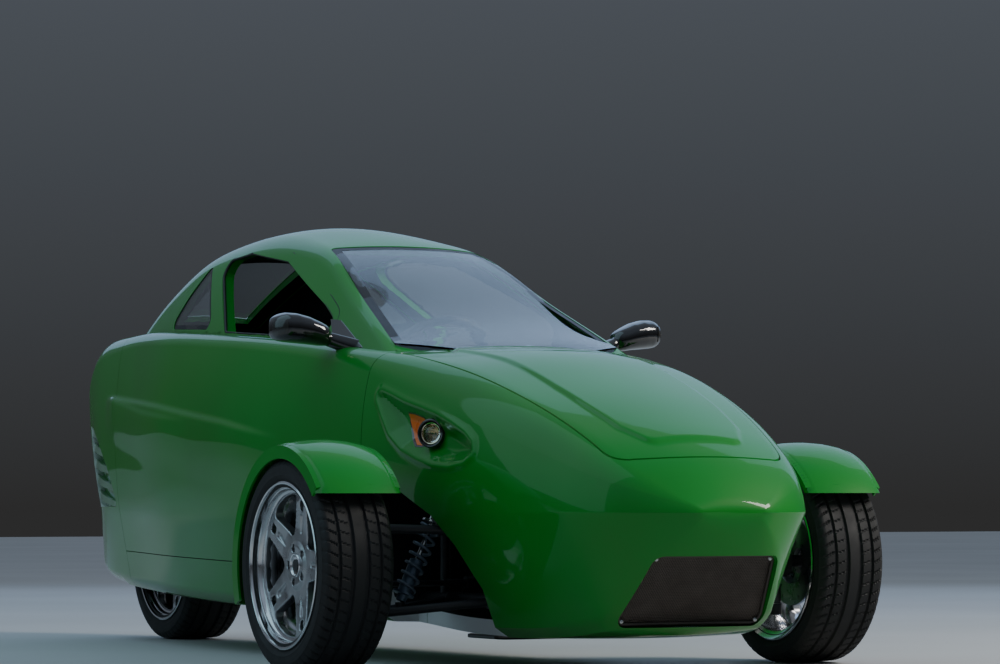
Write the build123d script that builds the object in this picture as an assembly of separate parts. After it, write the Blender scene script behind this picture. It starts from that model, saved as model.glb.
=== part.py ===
from build123d import *
from collections import namedtuple
from functools import lru_cache
from math import atan2, cos, degrees, hypot, radians, sin
import os

# A compact enclosed three wheeled car: two steered wheels in front under cycle fenders,
# one wheel in the tail, two seats in tandem and a single door on its left side.
# Millimetres, +Z up, nose towards -Y, ground at z = 0. "d" is always the distance
# behind the front axle, so the nose has negative values.

# Overall layout
WHEELBASE = 2704.0
NOSE_OVERHANG = 900.0
TAIL_OVERHANG = 446.0
TRACK_HALF = 742.0
FRONT_AXLE_Y = -(WHEELBASE + TAIL_OVERHANG - NOSE_OVERHANG) / 2

# Wheels and tyres, 205/40 R16
TYRE_R = 284.0
TYRE_W = 205.0
RIM_LIP_R = 220.5
RIM_SEAT_R = 203.0
RIM_W = 200.0
RIM_WALL = 8.0
TYRE_FIT = 0.3
SPOKES = 5
HUB_R = 58.0
SPINDLE_R = 16.0
BEARING_FIT = 0.05
DISC_R = 125.0
DISC_T = 12.0

# Shell thicknesses
BODY_WALL = 40.0
ROOF_WALL = 30.0
GLASS_T = 6.0
GLASS_INSET = 3.0
SEAM = 0.3
SHUT_GAP = 6.0
PLATE_T = 25.0

# Where the body panels meet, along the car
CLIP_D = 300.0
TAIL_PANEL_D = 2560.0
BULKHEAD_D = 360.0
REAR_BULKHEAD_D = WHEELBASE - 430.0
TUB_SEAM_FRONT_Z = 258.0
TUB_SEAM_REAR_Z = 318.0

# Steering
KINGPIN_X = 655.0
STAY_D = -90.0
STAY_Z = 335.0
STEER_ARM = 100.0
TIE_ROD_Z = 260.0
LOWER_BALL_Z = 150.0
UPPER_BALL_Z = 382.0

# Body sections below the window line. Half widths and heights of the sill, the keel on
# the centre line, the side crease and the belt; bulge is how far the side bows out
# between crease and belt, shoulder the length rounded off each side of the belt corner.
Station = namedtuple(
    "Station",
    "d sill_w keel_z sill_z crease_w crease_z bulge belt_w belt_z crown_z shoulder",
)
BODY = [
    Station(-NOSE_OVERHANG, 85, 402, 404, 108, 420, 2, 95, 434, 440, 4),
    Station(-850, 150, 300, 330, 205, 420, 4, 172, 470, 502, 15),
    Station(-780, 190, 210, 245, 285, 420, 8, 240, 500, 565, 35),
    Station(-640, 245, 105, 122, 350, 419, 14, 300, 560, 632, 60),
    Station(-350, 320, 90, 95, 405, 412, 24, 365, 655, 722, 75),
    Station(0, 360, 94, 100, 435, 405, 30, 405, 745, 803, 75),
    Station(400, 382, 120, 125, 454, 397, 32, 441, 868, 885, 48),
    Station(1100, 398, 130, 142, 470, 392, 30, 453, 930, 940, 40),
    Station(1800, 358, 140, 155, 428, 402, 27, 412, 972, 982, 42),
    Station(2400, 280, 162, 172, 330, 420, 24, 315, 996, 1006, 50),
    Station(2850, 218, 185, 195, 250, 434, 20, 245, 994, 1008, 65),
    Station(3060, 165, 215, 228, 178, 438, 16, 214, 935, 958, 65),
    Station(WHEELBASE + TAIL_OVERHANG, 132, 262, 276, 143, 440, 12, 192, 848, 872, 50),
]
INNER_FIRST = 2
NOSE_LOFT_END = -520.0
MAIN_LOFT_STEPS = 14

# Cabin sections above the window line: base hidden in the body, rail at the roof edge,
# bow is how far the side bows out between them.
Cabin = namedtuple("Cabin", "d base_w base_z rail_w rail_z bow crown_z shoulder")
CABIN = [
    Cabin(150, 430, 740, 402, 760, 2, 815, 20),
    Cabin(334, 440, 790, 372, 868, 4, 912, 20),
    Cabin(700, 440, 800, 315, 1032, 10, 1072, 30),
    Cabin(1050, 440, 800, 262, 1196, 16, 1222, 40),
    Cabin(1500, 425, 800, 250, 1245, 20, 1290, 60),
    Cabin(1900, 385, 800, 245, 1220, 18, 1262, 60),
    Cabin(2250, 330, 800, 235, 1130, 12, 1165, 50),
    Cabin(2620, 260, 800, 215, 985, 6, 1010, 40),
    Cabin(2720, 240, 800, 200, 940, 4, 965, 30),
]
INNER_CABIN_FIRST = 1

# Grille slots
SLOT_ROWS = 9
SLOT_COLUMNS = 5
SLOT_LAND = 6.0
GRILLE_T = 10.0

# Cycle fenders over the front wheels
FENDER_GAP = 30.0
FENDER_T = 6.0
FENDER_INNER_X = 612.0
FENDER_OUTER_X = 850.0
FENDER_FRONT_ANGLE = 140.0
FENDER_REAR_ANGLE = -20.0
FENDER_SKIRT = 34.0

# Front frame and suspension
RAIL_X = 252.0
RAIL_R = 19.0
RAIL_LOW_Z = 186.0
RAIL_HIGH_Z = 372.0
ARM_R = 12.0
LOWER_ARM_SPREAD = 135.0
UPPER_ARM_SPREAD = 95.0
ARM_PIVOT_R = 20.0
DAMPER_R = 18.0
SPRING_R = 28.0
SPRING_TURNS = 7

# Tail
SWING_ARM_X = 132.0
SWING_PIVOT_D = WHEELBASE - 395.0
LOUVRES = 5
LOUVRE_T = 9.0
LOUVRE_TILT = 14.0
LOUVRE_CORNER = 16.0
LOUVRE_WINDOW = [(2590, 440), (2640, 505), (2720, 575), (2860, 652), (3000, 702), (3085, 715), (3085, 440)]
LOUVRE_INNER_X = 150.0
LOUVRE_POSTS = ((150, 195, 2800, 2820), (120, 160, 3040, 3055))

BRACE_R = 14.0
PLATE_HOLES = 180.0
PLATE_HOLE_R = 4.0
PLATE_Z = 560.0
TAIL_LAMP_X = 92.0
TAIL_LAMP_Z = 760.0
TAIL_LAMP_R = 38.0
TAIL_LAMP_T = 14.0

# Front frame details
DAMPER_FOOT_X = 500.0
DAMPER_TOP_X = 388.0
DAMPER_TOP_Z = 430.0
DAMPER_D = 0.0
ENGINE_HALF_W = 205.0
PAN_HALF_W = 230.0
PAN_Z = 72.0
RACK_D = 150.0
RACK_R = 11.0
RACK_Z = TIE_ROD_Z - 30
RACK_END_X = 300.0
DAMPER_FOOT_Z = LOWER_BALL_Z + 34

# Cabin
DASH_W = 330.0
DASH_D = 455.0
SEAT_W = 430.0
CUSHION_T = 130.0
FRONT_SEAT_D = 1000.0
REAR_SEAT_D = 1730.0
STEERING_WHEEL_R = 175.0

# Outlines in side view, (d, z)
SIDE_WINDOW = [(590, 905), (830, 1018), (1220, 1166), (1545, 1210), (1775, 1195), (1492, 962)]
QUARTER_WINDOW = [(1625, 978), (1868, 1190), (1994, 1098), (2110, 1000)]
DOOR = [(430, 330), (430, 905), (800, 1050), (1160, 1203), (1510, 1243), (1790, 1236),
        (1862, 1204), (1560, 950), (1540, 330)]
WHEEL_ARCH = [(-260, 40), (-229, 220), (-140, 336), (-49, 415), (107, 482), (355, 482), (355, 40)]
LAMP_RECESS = [(262, 752), (285, 680), (90, 596), (-220, 548), (-262, 608), (-60, 676)]
INDICATOR = [(62, 688), (-6, 648), (80, 600), (120, 640)]

# Outlines in plan, (half width, d)
HOOD_FRONT_W = 254.0
HOOD_FRONT_D = -728.0
HOOD_REAR_W = 372.0
HOOD_REAR_D = 300.0
HOOD_REAR_MID_D = 150.0
SCREEN_BASE_W = 348.0
SCREEN_BASE_D = 352.0
SCREEN_BASE_MID_D = 190.0
SCREEN_TOP_W = 236.0
SCREEN_TOP_D = 1040.0
HATCH_W = 178.0
HATCH_FRONT_D = 1900.0
HATCH_REAR_D = 2560.0
HATCH_LEAN = 25.0
HATCH_MID_Z = 1120.0
HATCH_RIM = 45.0

# Grille opening, (half width, z), seen from the front
GRILLE_TOP = (179.0, 311.0)
GRILLE_BOTTOM = (219.0, 128.0)
GRILLE_CORNER = 28.0
GRILLE_TOP_D = -816.0
GRILLE_BOTTOM_D = -667.0


def at_d(d):
    return FRONT_AXLE_Y + d


def node(name, *shapes):
    """Write one node; its solids stay separate."""
    solids = []
    for shape in shapes:
        solids += list(shape.solids()) if hasattr(shape, "solids") else list(shape)
    solids = [solid for solid in solids if solid.volume > 200]
    export_step(solids[0] if len(solids) == 1 else Compound(solids), f"parts/{name}.step")
    return solids


def mirrored(shape):
    return mirror(shape, about=Plane.YZ)


def flip(v):
    return Vector(-v.X, v.Y, v.Z)


def arc_edges(points, rounding, mid_top, y):
    """Side arc, rounded shoulder and crown, from the side's foot up and over to its mirror."""
    foot, side_mid, corner = points
    side = ThreePointArc((foot[0], y, foot[1]), (side_mid[0], y, side_mid[1]), (corner[0], y, corner[1]))
    crown = ThreePointArc((corner[0], y, corner[1]), (0, y, mid_top), (-corner[0], y, corner[1]))
    keep = 1 - rounding / side.length
    start = side @ keep
    end = crown @ (rounding / crown.length)
    blend = (start + Vector(corner[0], y, corner[1]) * 2 + end) * 0.25
    half = side @ (keep / 2)
    return [
        ThreePointArc((foot[0], y, foot[1]), half, start),
        ThreePointArc(start, blend, end),
        ThreePointArc(end, (0, y, mid_top), flip(end)),
        ThreePointArc(flip(end), flip(blend), flip(start)),
        ThreePointArc(flip(start), flip(half), (-foot[0], y, foot[1])),
    ]


def bowed_mid(foot, corner, bow):
    """Middle of an arc between two points that bows outwards."""
    run, rise = corner[0] - foot[0], corner[1] - foot[1]
    span = hypot(run, rise)
    return ((foot[0] + corner[0]) / 2 + bow * rise / span, (foot[1] + corner[1]) / 2 - bow * run / span)


def body_wire(s, inset):
    y = at_d(s.d)
    sill = (s.sill_w - inset, s.sill_z + inset)
    crease = (s.crease_w - inset, s.crease_z)
    belt = (s.belt_w - inset, s.belt_z - inset * 0.6)
    edges = [
        ThreePointArc((-sill[0], y, sill[1]), (0, y, s.keel_z + inset), (sill[0], y, sill[1])),
        Line((sill[0], y, sill[1]), (crease[0], y, crease[1])),
    ]
    edges += arc_edges(
        (crease, bowed_mid(crease, belt, s.bulge), belt),
        max(s.shoulder - inset * 0.5, s.shoulder * 0.4), s.crown_z - inset, y,
    )
    edges.append(Line((-crease[0], y, crease[1]), (-sill[0], y, sill[1])))
    return Wire(edges)


def cabin_wire(s, inset):
    y = at_d(s.d)
    base = (s.base_w - inset, s.base_z - inset)
    rail = (s.rail_w - inset, s.rail_z - inset * 0.5)
    edges = [Line((-base[0], y, base[1]), (base[0], y, base[1]))]
    edges += arc_edges((base, bowed_mid(base, rail, s.bow), rail), s.shoulder, s.crown_z - inset, y)
    return Wire(edges)


def slopes(rows):
    """Slope of each column at each row, flat at a turning point so that nothing overshoots."""
    steps = [
        [(b - a) / (high.d - low.d) for a, b in zip(low, high)]
        for low, high in zip(rows, rows[1:])
    ]
    inside = [
        [2 * p * q / (p + q) if p * q > 0 else 0.0 for p, q in zip(before, after)]
        for before, after in zip(steps, steps[1:])
    ]
    return [steps[0]] + inside + [steps[-1]]


def section_at(rows, d):
    """Section between the rows of a table, by cubic steps through them."""
    tilt = slopes(rows)
    index = max(i for i in range(len(rows) - 1) if rows[i].d <= d or i == 0)
    low, high = rows[index], rows[index + 1]
    span = high.d - low.d
    t = (d - low.d) / span
    h01 = t * t * (3 - 2 * t)
    h10 = t * (1 - t) ** 2
    h11 = t * t * (t - 1)
    values = [
        a + (b - a) * h01 + span * (h10 * p + h11 * q)
        for a, b, p, q in zip(low, high, tilt[index], tilt[index + 1])
    ]
    return type(low)(*values)


def even_steps(start, end, count):
    return [start + (end - start) * i / count for i in range(count + 1)]


@lru_cache(None)
def body_form(inset):
    start = BODY[INNER_FIRST].d if inset else BODY[0].d
    end = BODY[-1].d - inset
    nose = even_steps(start, NOSE_LOFT_END, 5)
    main = even_steps(NOSE_LOFT_END, end, MAIN_LOFT_STEPS)
    lofts = [
        Solid.make_loft([body_wire(section_at(BODY, d), inset) for d in places])
        for places in (nose, main)
    ]
    return lofts[0] + lofts[1]


@lru_cache(None)
def cabin_form(inset):
    first = CABIN[INNER_CABIN_FIRST] if inset > ROOF_WALL / 2 else CABIN[0]
    places = even_steps(first.d - abs(inset), CABIN[-1].d + abs(inset), 10)
    return Solid.make_loft([cabin_wire(section_at(CABIN, d), inset) for d in places])


def side_face(outline, corner, grow=0.0):
    """Rounded face in side view at x = 0 from (d, z) points."""
    points = [(at_d(d), z) for d, z in outline]
    face = make_face(FilletPolyline(*points, radius=corner, close=True))
    if grow:
        face = offset(face, amount=grow)
    return Plane.YZ * face


def side_prism(outline, corner, x0, x1, grow=0.0):
    face = side_face(outline, corner, grow)
    return extrude(Pos(x0, 0, 0) * face, amount=x1 - x0, dir=(1, 0, 0))


def plan_prism(edges, z0, z1, grow=0.0):
    face = make_face(edges)
    if grow:
        face = offset(face, amount=grow)
    return extrude(Pos(0, 0, z0) * face, amount=z1 - z0, dir=(0, 0, 1))


def block(x0, x1, d0, d1, z0, z1):
    return Pos((x0 + x1) / 2, at_d((d0 + d1) / 2), (z0 + z1) / 2) * Box(x1 - x0, d1 - d0, z1 - z0)


def tube(start, end, radius):
    """Round bar between two points given as (x, d, z)."""
    a = Vector(start[0], at_d(start[1]), start[2])
    b = Vector(end[0], at_d(end[1]), end[2])
    return Solid.make_cylinder(radius, (b - a).length, Plane(origin=a, z_dir=b - a))


def fuse(*shapes):
    result = shapes[0]
    for shape in shapes[1:]:
        result = result + shape
    return result


def turned(profile):
    """Revolve an (x, radius) outline about the X axis."""
    face = Face(Wire(Polyline(*[(x, 0, r) for x, r in profile], close=True).edges()))
    return Solid.revolve(face, 360, Axis.X)


# Body shell

def hood_outline():
    front_r, rear_r = (HOOD_FRONT_W, at_d(HOOD_FRONT_D)), (HOOD_REAR_W, at_d(HOOD_REAR_D))
    front_l, rear_l = (-front_r[0], front_r[1]), (-rear_r[0], rear_r[1])
    return [
        ThreePointArc(front_l, (0, front_r[1] - 12), front_r),
        ThreePointArc(front_r, ((front_r[0] + rear_r[0]) / 2 + 12, (front_r[1] + rear_r[1]) / 2), rear_r),
        ThreePointArc(rear_r, (0, at_d(HOOD_REAR_MID_D)), rear_l),
        ThreePointArc(rear_l, (-(front_r[0] + rear_r[0]) / 2 - 12, (front_r[1] + rear_r[1]) / 2), front_l),
    ]


def hood_prism(grow):
    return plan_prism(hood_outline(), 440, 1100, grow)


def screen_outline():
    base_r, top_r = (SCREEN_BASE_W, at_d(SCREEN_BASE_D)), (SCREEN_TOP_W, at_d(SCREEN_TOP_D))
    base_l, top_l = (-base_r[0], base_r[1]), (-top_r[0], top_r[1])
    return [
        ThreePointArc(base_l, (0, at_d(SCREEN_BASE_MID_D)), base_r),
        Line(base_r, top_r),
        ThreePointArc(top_r, (0, top_r[1] - 40), top_l),
        Line(top_l, base_l),
    ]


def hatch_outline():
    return FilletPolyline(
        (-HATCH_W, at_d(HATCH_FRONT_D)), (HATCH_W, at_d(HATCH_FRONT_D)),
        (HATCH_W * 0.9, at_d(HATCH_REAR_D)), (-HATCH_W * 0.9, at_d(HATCH_REAR_D)),
        radius=45, close=True,
    ).edges()


def hatch_prism(grow):
    """Rear window opening, cut square to the sloping roof so that the hatch lifts clear."""
    face = make_face(hatch_outline())
    if grow:
        face = offset(face, amount=grow)
    lean = Vector(0, sin(radians(HATCH_LEAN)), cos(radians(HATCH_LEAN)))
    foot = Vector(0, 0, HATCH_MID_Z) - lean * 170
    return extrude(Pos(*foot) * face, amount=400, dir=lean)


def door_prism(grow):
    """The door's outline flares outwards so that the door swings clear of its frame."""
    inner = side_face(DOOR, 38, grow)
    centre = Vector(0, at_d(1000), 790)
    wires = []
    for x, share in ((90, 0.965), (620, 1.045)):
        face = Pos(x, centre.Y, centre.Z) * scale(Pos(0, -centre.Y, -centre.Z) * inner, by=share)
        wires.append(face.faces()[0].outer_wire())
    return Solid.make_loft(wires, ruled=True)


def make_shell():
    """Body and cabin walls before they are split into panels."""
    body = body_out - body_form(BODY_WALL) - cabin_in
    cabin = cabin_out - body_out - cabin_in
    return body, cabin


def make_panels():
    body, cabin = make_shell()
    window = side_prism(SIDE_WINDOW, 34, -700, 700)
    quarter = side_prism(QUARTER_WINDOW, 22, -700, 700)
    screen = plan_prism(screen_outline(), 700, 1500)
    hatch = hatch_prism(0)
    hood = hood_prism(0)
    door = door_prism(0) & door_zone(0)
    door_gap = door_prism(SHUT_GAP) & door_zone(SHUT_GAP)

    whole = body + cabin
    door_left = (whole & door) - window
    node("door_left", door_left)

    hood_panel = (body & hood_prism(-SHUT_GAP)) - cabin_form(-SHUT_GAP)
    node("hood", hood_panel)

    rest = body - door_gap - hood
    clip = rest & block(-900, 900, -1000, CLIP_D, 0, 1300)
    clip_main, cowl = sorted(clip.solids(), key=lambda solid: -solid.volume)[:2]
    roof = cabin - window - quarter - screen - hatch - door_gap
    roof_core = cabin_form(6) - cabin_form(ROOF_WALL - 2)
    roof = fuse(roof, cowl, *edge_lugs(roof_core, hatch_prism, 100, 140, 1900, 2000))
    node("roof_frame", roof)
    node("hatch", (cabin & hatch_prism(-SHUT_GAP)) - hatch_prism(-SHUT_GAP - HATCH_RIM))

    lugs = door_lugs()
    body_core = body_form(8) - body_form(BODY_WALL - 2)
    hood_lugs = edge_lugs(body_core, hood_prism, 140, 190, -760, -700)
    arches = [side_prism(WHEEL_ARCH, 30, 275, 900)]
    arches.append(mirrored(arches[0]))
    recess = side_prism(LAMP_RECESS, 30, 200, 900)
    lamp_holes = recess + mirrored(recess)
    clip = clip_main - arches[0] - arches[1] - lamp_holes - grille_prism(0, -960, -560)
    node("nose_shell", fuse(clip, *hood_lugs))

    middle = rest & block(-900, 900, CLIP_D, TAIL_PANEL_D, 0, 1300)
    middle = middle - arches[0] - arches[1] - rear_wheel_space()
    seam = tub_prism()
    node("lower_tub", middle & seam)
    sides = middle - seam
    node("side_right", sides & block(-900, 0, 0, 4000, 0, 1300))
    node("side_left", (sides & block(0, 900, 0, 4000, 0, 1300)) + lugs)

    tail = rest & block(-900, 900, TAIL_PANEL_D, 4000, 0, 1300)
    slots = side_prism(LOUVRE_WINDOW, LOUVRE_CORNER, 110, 600)
    tail = tail - rear_wheel_space() - slots - mirrored(slots)
    for x in (-PLATE_HOLES / 2, PLATE_HOLES / 2):
        tail = tail - tube((x, 3000, PLATE_Z), (x, 3300, PLATE_Z), PLATE_HOLE_R)
    floor_d = WHEELBASE + TAIL_OVERHANG - TAIL_LAMP_T - SEAM
    pocket = tube((TAIL_LAMP_X, floor_d, TAIL_LAMP_Z), (TAIL_LAMP_X, 3300, TAIL_LAMP_Z), TAIL_LAMP_R + SEAM)
    tail = tail - pocket - mirrored(pocket)
    node("tail_shell", tail)


def edge_lugs(wall, opening, x0, x1, d0, d1):
    """Pair of hinge lugs that reach across a shut gap to the edge of the lid in it."""
    lug = (wall & block(x0, x1, d0, d1, 0, 1500)) - opening(SEAM - SHUT_GAP)
    front = min(lug.solids(), key=lambda solid: solid.center().Y)
    return [front, mirrored(front)]


def door_zone(grow):
    """Where the door may take its part of the roof: outboard of the screen and the roof rail."""
    edge = [
        (SCREEN_BASE_W + 22, 200), (SCREEN_BASE_W + 22, SCREEN_BASE_D),
        (SCREEN_TOP_W + 14, SCREEN_TOP_D), (SCREEN_TOP_W - 14, 1300), (SCREEN_TOP_W - 14, 2100),
    ]
    points = [(x - grow, at_d(d)) for x, d in edge] + [(900, at_d(2100)), (900, at_d(200))]
    return plan_prism(Polyline(*points, close=True).edges(), 0, 1500)


def door_lugs():
    """Hinge lugs ahead of the door and its striker behind it, which close the shut gap."""
    wall = body_form(8) - body_form(BODY_WALL - 2)
    front, rear = DOOR[0][0], DOOR[-1][0]
    lugs = [
        wall & block(300, 600, front - 30, front + 30, 470, 530),
        wall & block(300, 600, front - 30, front + 30, 720, 780),
        wall & block(300, 600, rear - 20, rear + 60, 590, 620),
    ]
    fitted = [lug - door_prism(SEAM) for lug in lugs]
    return [solid for lug in fitted for solid in lug.solids()]


def tub_prism():
    """Everything below the seam of the lower tub."""
    outline = [(0, -50), (0, TUB_SEAM_FRONT_Z), (4000, TUB_SEAM_REAR_Z + 20), (4000, -50)]
    return side_prism(outline, 1, -900, 900)


def rear_wheel_space():
    reach = TYRE_R + 45
    half = TYRE_W / 2 + 45
    return block(-half, half, WHEELBASE - reach, WHEELBASE + reach, 0, 330)


def grille_prism(grow, d0, d1):
    """Rounded grille outline carried along the car."""
    (top_w, top_z), (low_w, low_z) = GRILLE_TOP, GRILLE_BOTTOM
    face = make_face(FilletPolyline(
        (-top_w, top_z), (top_w, top_z), (low_w, low_z), (-low_w, low_z), radius=GRILLE_CORNER, close=True,
    ))
    if grow:
        face = offset(face, amount=grow)
    placed = Plane(origin=(0, at_d(d0), 0), x_dir=(1, 0, 0), z_dir=(0, -1, 0)) * face
    return extrude(placed, amount=d1 - d0, dir=(0, 1, 0))


def make_grille():
    """Slotted grille panel set back in the opening, leaning with the nose."""
    run = GRILLE_BOTTOM_D - GRILLE_TOP_D
    rise = GRILLE_TOP[1] - GRILLE_BOTTOM[1]
    lean = Rot(degrees(atan2(run, rise)), 0, 0)
    middle = Pos(0, at_d((GRILLE_TOP_D + GRILLE_BOTTOM_D) / 2 + 34), (GRILLE_TOP[1] + GRILLE_BOTTOM[1]) / 2)
    slab = middle * lean * Box(700, GRILLE_T, 400)
    panel = slab & grille_prism(-SEAM, -960, -500)
    pitch_z = (hypot(run, rise) - 30) / SLOT_ROWS
    pitch_x = 2 * (GRILLE_TOP[0] - 14) / SLOT_COLUMNS
    for row in range(SLOT_ROWS):
        for column in range(SLOT_COLUMNS):
            slot = Box(pitch_x - SLOT_LAND, 40, pitch_z - SLOT_LAND)
            x = (column - (SLOT_COLUMNS - 1) / 2) * pitch_x
            z = (row - (SLOT_ROWS - 1) / 2) * pitch_z
            panel = panel - middle * lean * (Pos(x, 0, z) * slot)
    node("grille", panel)


def make_glass():
    band = cabin_form(GLASS_INSET) - cabin_form(GLASS_INSET + GLASS_T) - body_out
    screen = band & plan_prism(screen_outline(), 700, 1500, -SEAM)
    node("windshield", screen)
    quarter = side_prism(QUARTER_WINDOW, 22, -700, 700, -SEAM)
    node("quarter_glasses", band & quarter)
    pane = band & hatch_prism(-SHUT_GAP - HATCH_RIM - SEAM)
    node("hatch_glass", pane)


def make_lamps():
    """Bucket with a round projector in each recess, and an amber lens behind it."""
    bucket_zone = body_form(18) - body_form(34)
    lens_zone = body_form(6) - body_form(17.7)
    bucket = bucket_zone & side_prism(LAMP_RECESS, 30, 200, 900, -SEAM)
    centre = (398, -6, 636)
    out = Vector(0.55, -0.835, 0)
    base = Vector(centre[0], at_d(centre[1]), centre[2])
    barrel = Solid.make_cylinder(40, 92, Plane(origin=base - out * 62, z_dir=out))
    bore = Solid.make_cylinder(31, 20, Plane(origin=base + out * 14, z_dir=out))
    lens = Pos(*(base + out * 6)) * Sphere(26)
    bucket = bucket + ((barrel - bore + lens) & body_form(2))
    amber = (lens_zone & side_prism(INDICATOR, 10, 200, 900)) - (Pos(*base) * Sphere(52))
    node("headlamp_left", bucket - amber)
    node("headlamp_right", mirrored(bucket - amber))
    node("indicators", amber, mirrored(amber))


def make_mirrors():
    """Housing on a foot at the window's front corner."""
    faces = []
    for x, w, h, d in ((470, 86, 52, 560), (540, 120, 84, 585), (585, 110, 78, 592), (606, 74, 54, 598)):
        place = Plane(origin=(x, at_d(d), 937), x_dir=(0, 1, 0), z_dir=(1, 0, 0))
        faces.append(place * RectangleRounded(w, h, min(w, h) * 0.42))
    housing = loft(faces)
    foot = tube((355, 520, 872), (490, 565, 925), 15)
    mirror_left = (housing + foot) - cabin_form(-SEAM) - body_form(-SEAM)
    mirror_left = max(mirror_left.solids(), key=lambda solid: solid.volume)
    node("mirror_left", mirror_left)
    node("mirror_right", mirrored(mirror_left))


def make_tail_trim():
    """Fins in the side recesses, and two lamps on the tail's rear face."""
    window = side_prism(LOUVRE_WINDOW, LOUVRE_CORNER, 0, 600, -SEAM)
    core = body_form(6) & window
    front, rear = LOUVRE_WINDOW[0][0], LOUVRE_WINDOW[-1][0]
    low, high = LOUVRE_WINDOW[0][1], LOUVRE_WINDOW[-2][1]
    pitch = (high - low) / LOUVRES
    posts = [block(x0, x1, d0, d1, low, high) for x0, x1, d0, d1 in LOUVRE_POSTS]
    fins = [
        Pos(LOUVRE_INNER_X + 65, at_d((front + rear) / 2), low + pitch * (i + 0.5))
        * Rot(0, LOUVRE_TILT, 0) * Box(130, rear - front + 60, LOUVRE_T)
        for i in range(LOUVRES)
    ]
    stack = fuse(*posts, *fins) & core
    node("tail_louvres", stack, mirrored(stack))
    end = WHEELBASE + TAIL_OVERHANG
    start = (TAIL_LAMP_X, end - TAIL_LAMP_T, TAIL_LAMP_Z)
    lamp = tube(start, (TAIL_LAMP_X, end, TAIL_LAMP_Z), TAIL_LAMP_R)
    node("tail_lamps", lamp, mirrored(lamp))


# Floor, frame and drive

def make_floor():
    """Floor plate with front and rear bulkheads, fitted inside the walls."""
    room = body_form(BODY_WALL + SEAM)
    floor = block(-600, 600, BULKHEAD_D, REAR_BULKHEAD_D, 0, 205)
    front = block(-600, 600, BULKHEAD_D, BULKHEAD_D + PLATE_T, 0, 780)
    rear = block(-600, 600, REAR_BULKHEAD_D - PLATE_T, REAR_BULKHEAD_D, 0, 880)
    tub = room & (floor + front + rear)
    node("floor_tub", tub)


def make_front_frame():
    """Tube frame ahead of the bulkhead, with the steering rack's housing."""
    bars = []
    for side in (-1, 1):
        x = side * RAIL_X
        for z in (RAIL_LOW_Z, RAIL_HIGH_Z):
            bars.append(tube((x, -330, z), (x, BULKHEAD_D - SEAM, z), RAIL_R))
        for d in (-300, 235):
            bars.append(tube((x, d, RAIL_LOW_Z), (x, d, RAIL_HIGH_Z), BRACE_R))
        bars.append(tube((x, DAMPER_D, RAIL_HIGH_Z), (x, DAMPER_D, DAMPER_TOP_Z + 14), BRACE_R))
        tower_x = side * (DAMPER_TOP_X - 15)
        bars.append(tube((x, DAMPER_D, DAMPER_TOP_Z), (tower_x, DAMPER_D, DAMPER_TOP_Z), BRACE_R))
        bars.append(tube((x, -60, RAIL_HIGH_Z), (side * (ENGINE_HALF_W + SEAM), -60, RAIL_HIGH_Z), BRACE_R))
        bars.append(tube((side * 215, RACK_D, RACK_Z - 12), (x, RACK_D, RAIL_LOW_Z), 12))
    for d, z in ((-300, RAIL_LOW_Z), (-300, RAIL_HIGH_Z), (235, RAIL_LOW_Z)):
        bars.append(tube((-RAIL_X, d, z), (RAIL_X, d, z), BRACE_R))
    housing = tube((-232, RACK_D, RACK_Z), (232, RACK_D, RACK_Z), RACK_R + 8)
    rack_bore = tube((-400, RACK_D, RACK_Z), (400, RACK_D, RACK_Z), RACK_R + SEAM)
    node("front_frame", fuse(*bars, housing) - rack_bore)
    engine = block(-ENGINE_HALF_W, ENGINE_HALF_W, -270, 105, RAIL_LOW_Z + 30, 590)
    engine = fillet(engine.edges().filter_by(Axis.Z), 30)
    node("engine_block", engine)
    pan = block(-PAN_HALF_W, PAN_HALF_W, -250, 300, PAN_Z, PAN_Z + 90) - body_form(-SEAM)
    pan = max(pan.solids(), key=lambda solid: solid.volume)
    node("under_pan", pan)


def make_arms():
    """Lower and upper wishbones, from the rails to the ball joints."""
    arms = []
    pivot_x = RAIL_X + RAIL_R + ARM_PIVOT_R + SEAM
    for ball_z, rail_z, spread in (
        (LOWER_BALL_Z, RAIL_LOW_Z, LOWER_ARM_SPREAD),
        (UPPER_BALL_Z, RAIL_HIGH_Z, UPPER_ARM_SPREAD),
    ):
        end = (KINGPIN_X - 30, 0, ball_z)
        arm = tube((KINGPIN_X - 40, 0, ball_z), (KINGPIN_X, 0, ball_z), ARM_R)
        arm = arm + tube((KINGPIN_X, 0, ball_z - 15), (KINGPIN_X, 0, ball_z + 15), 19)
        for d in (-spread, spread):
            arm = arm + tube((pivot_x, d, rail_z), end, ARM_R)
            arm = arm + tube((pivot_x, d - 24, rail_z), (pivot_x, d + 24, rail_z), ARM_PIVOT_R)
        arms.append(arm)
    bar_z = LOWER_BALL_Z + 12
    tie = tube((DAMPER_FOOT_X, -46, bar_z), (DAMPER_FOOT_X, 46, bar_z), 9)
    tab = tube((DAMPER_FOOT_X, DAMPER_D, bar_z - 6), (DAMPER_FOOT_X, DAMPER_D, DAMPER_FOOT_Z - SEAM), 13)
    arms[0] = arms[0] + tie + tab
    node("wishbones_left", *arms)
    node("wishbones_right", *[mirrored(arm) for arm in arms])


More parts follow.
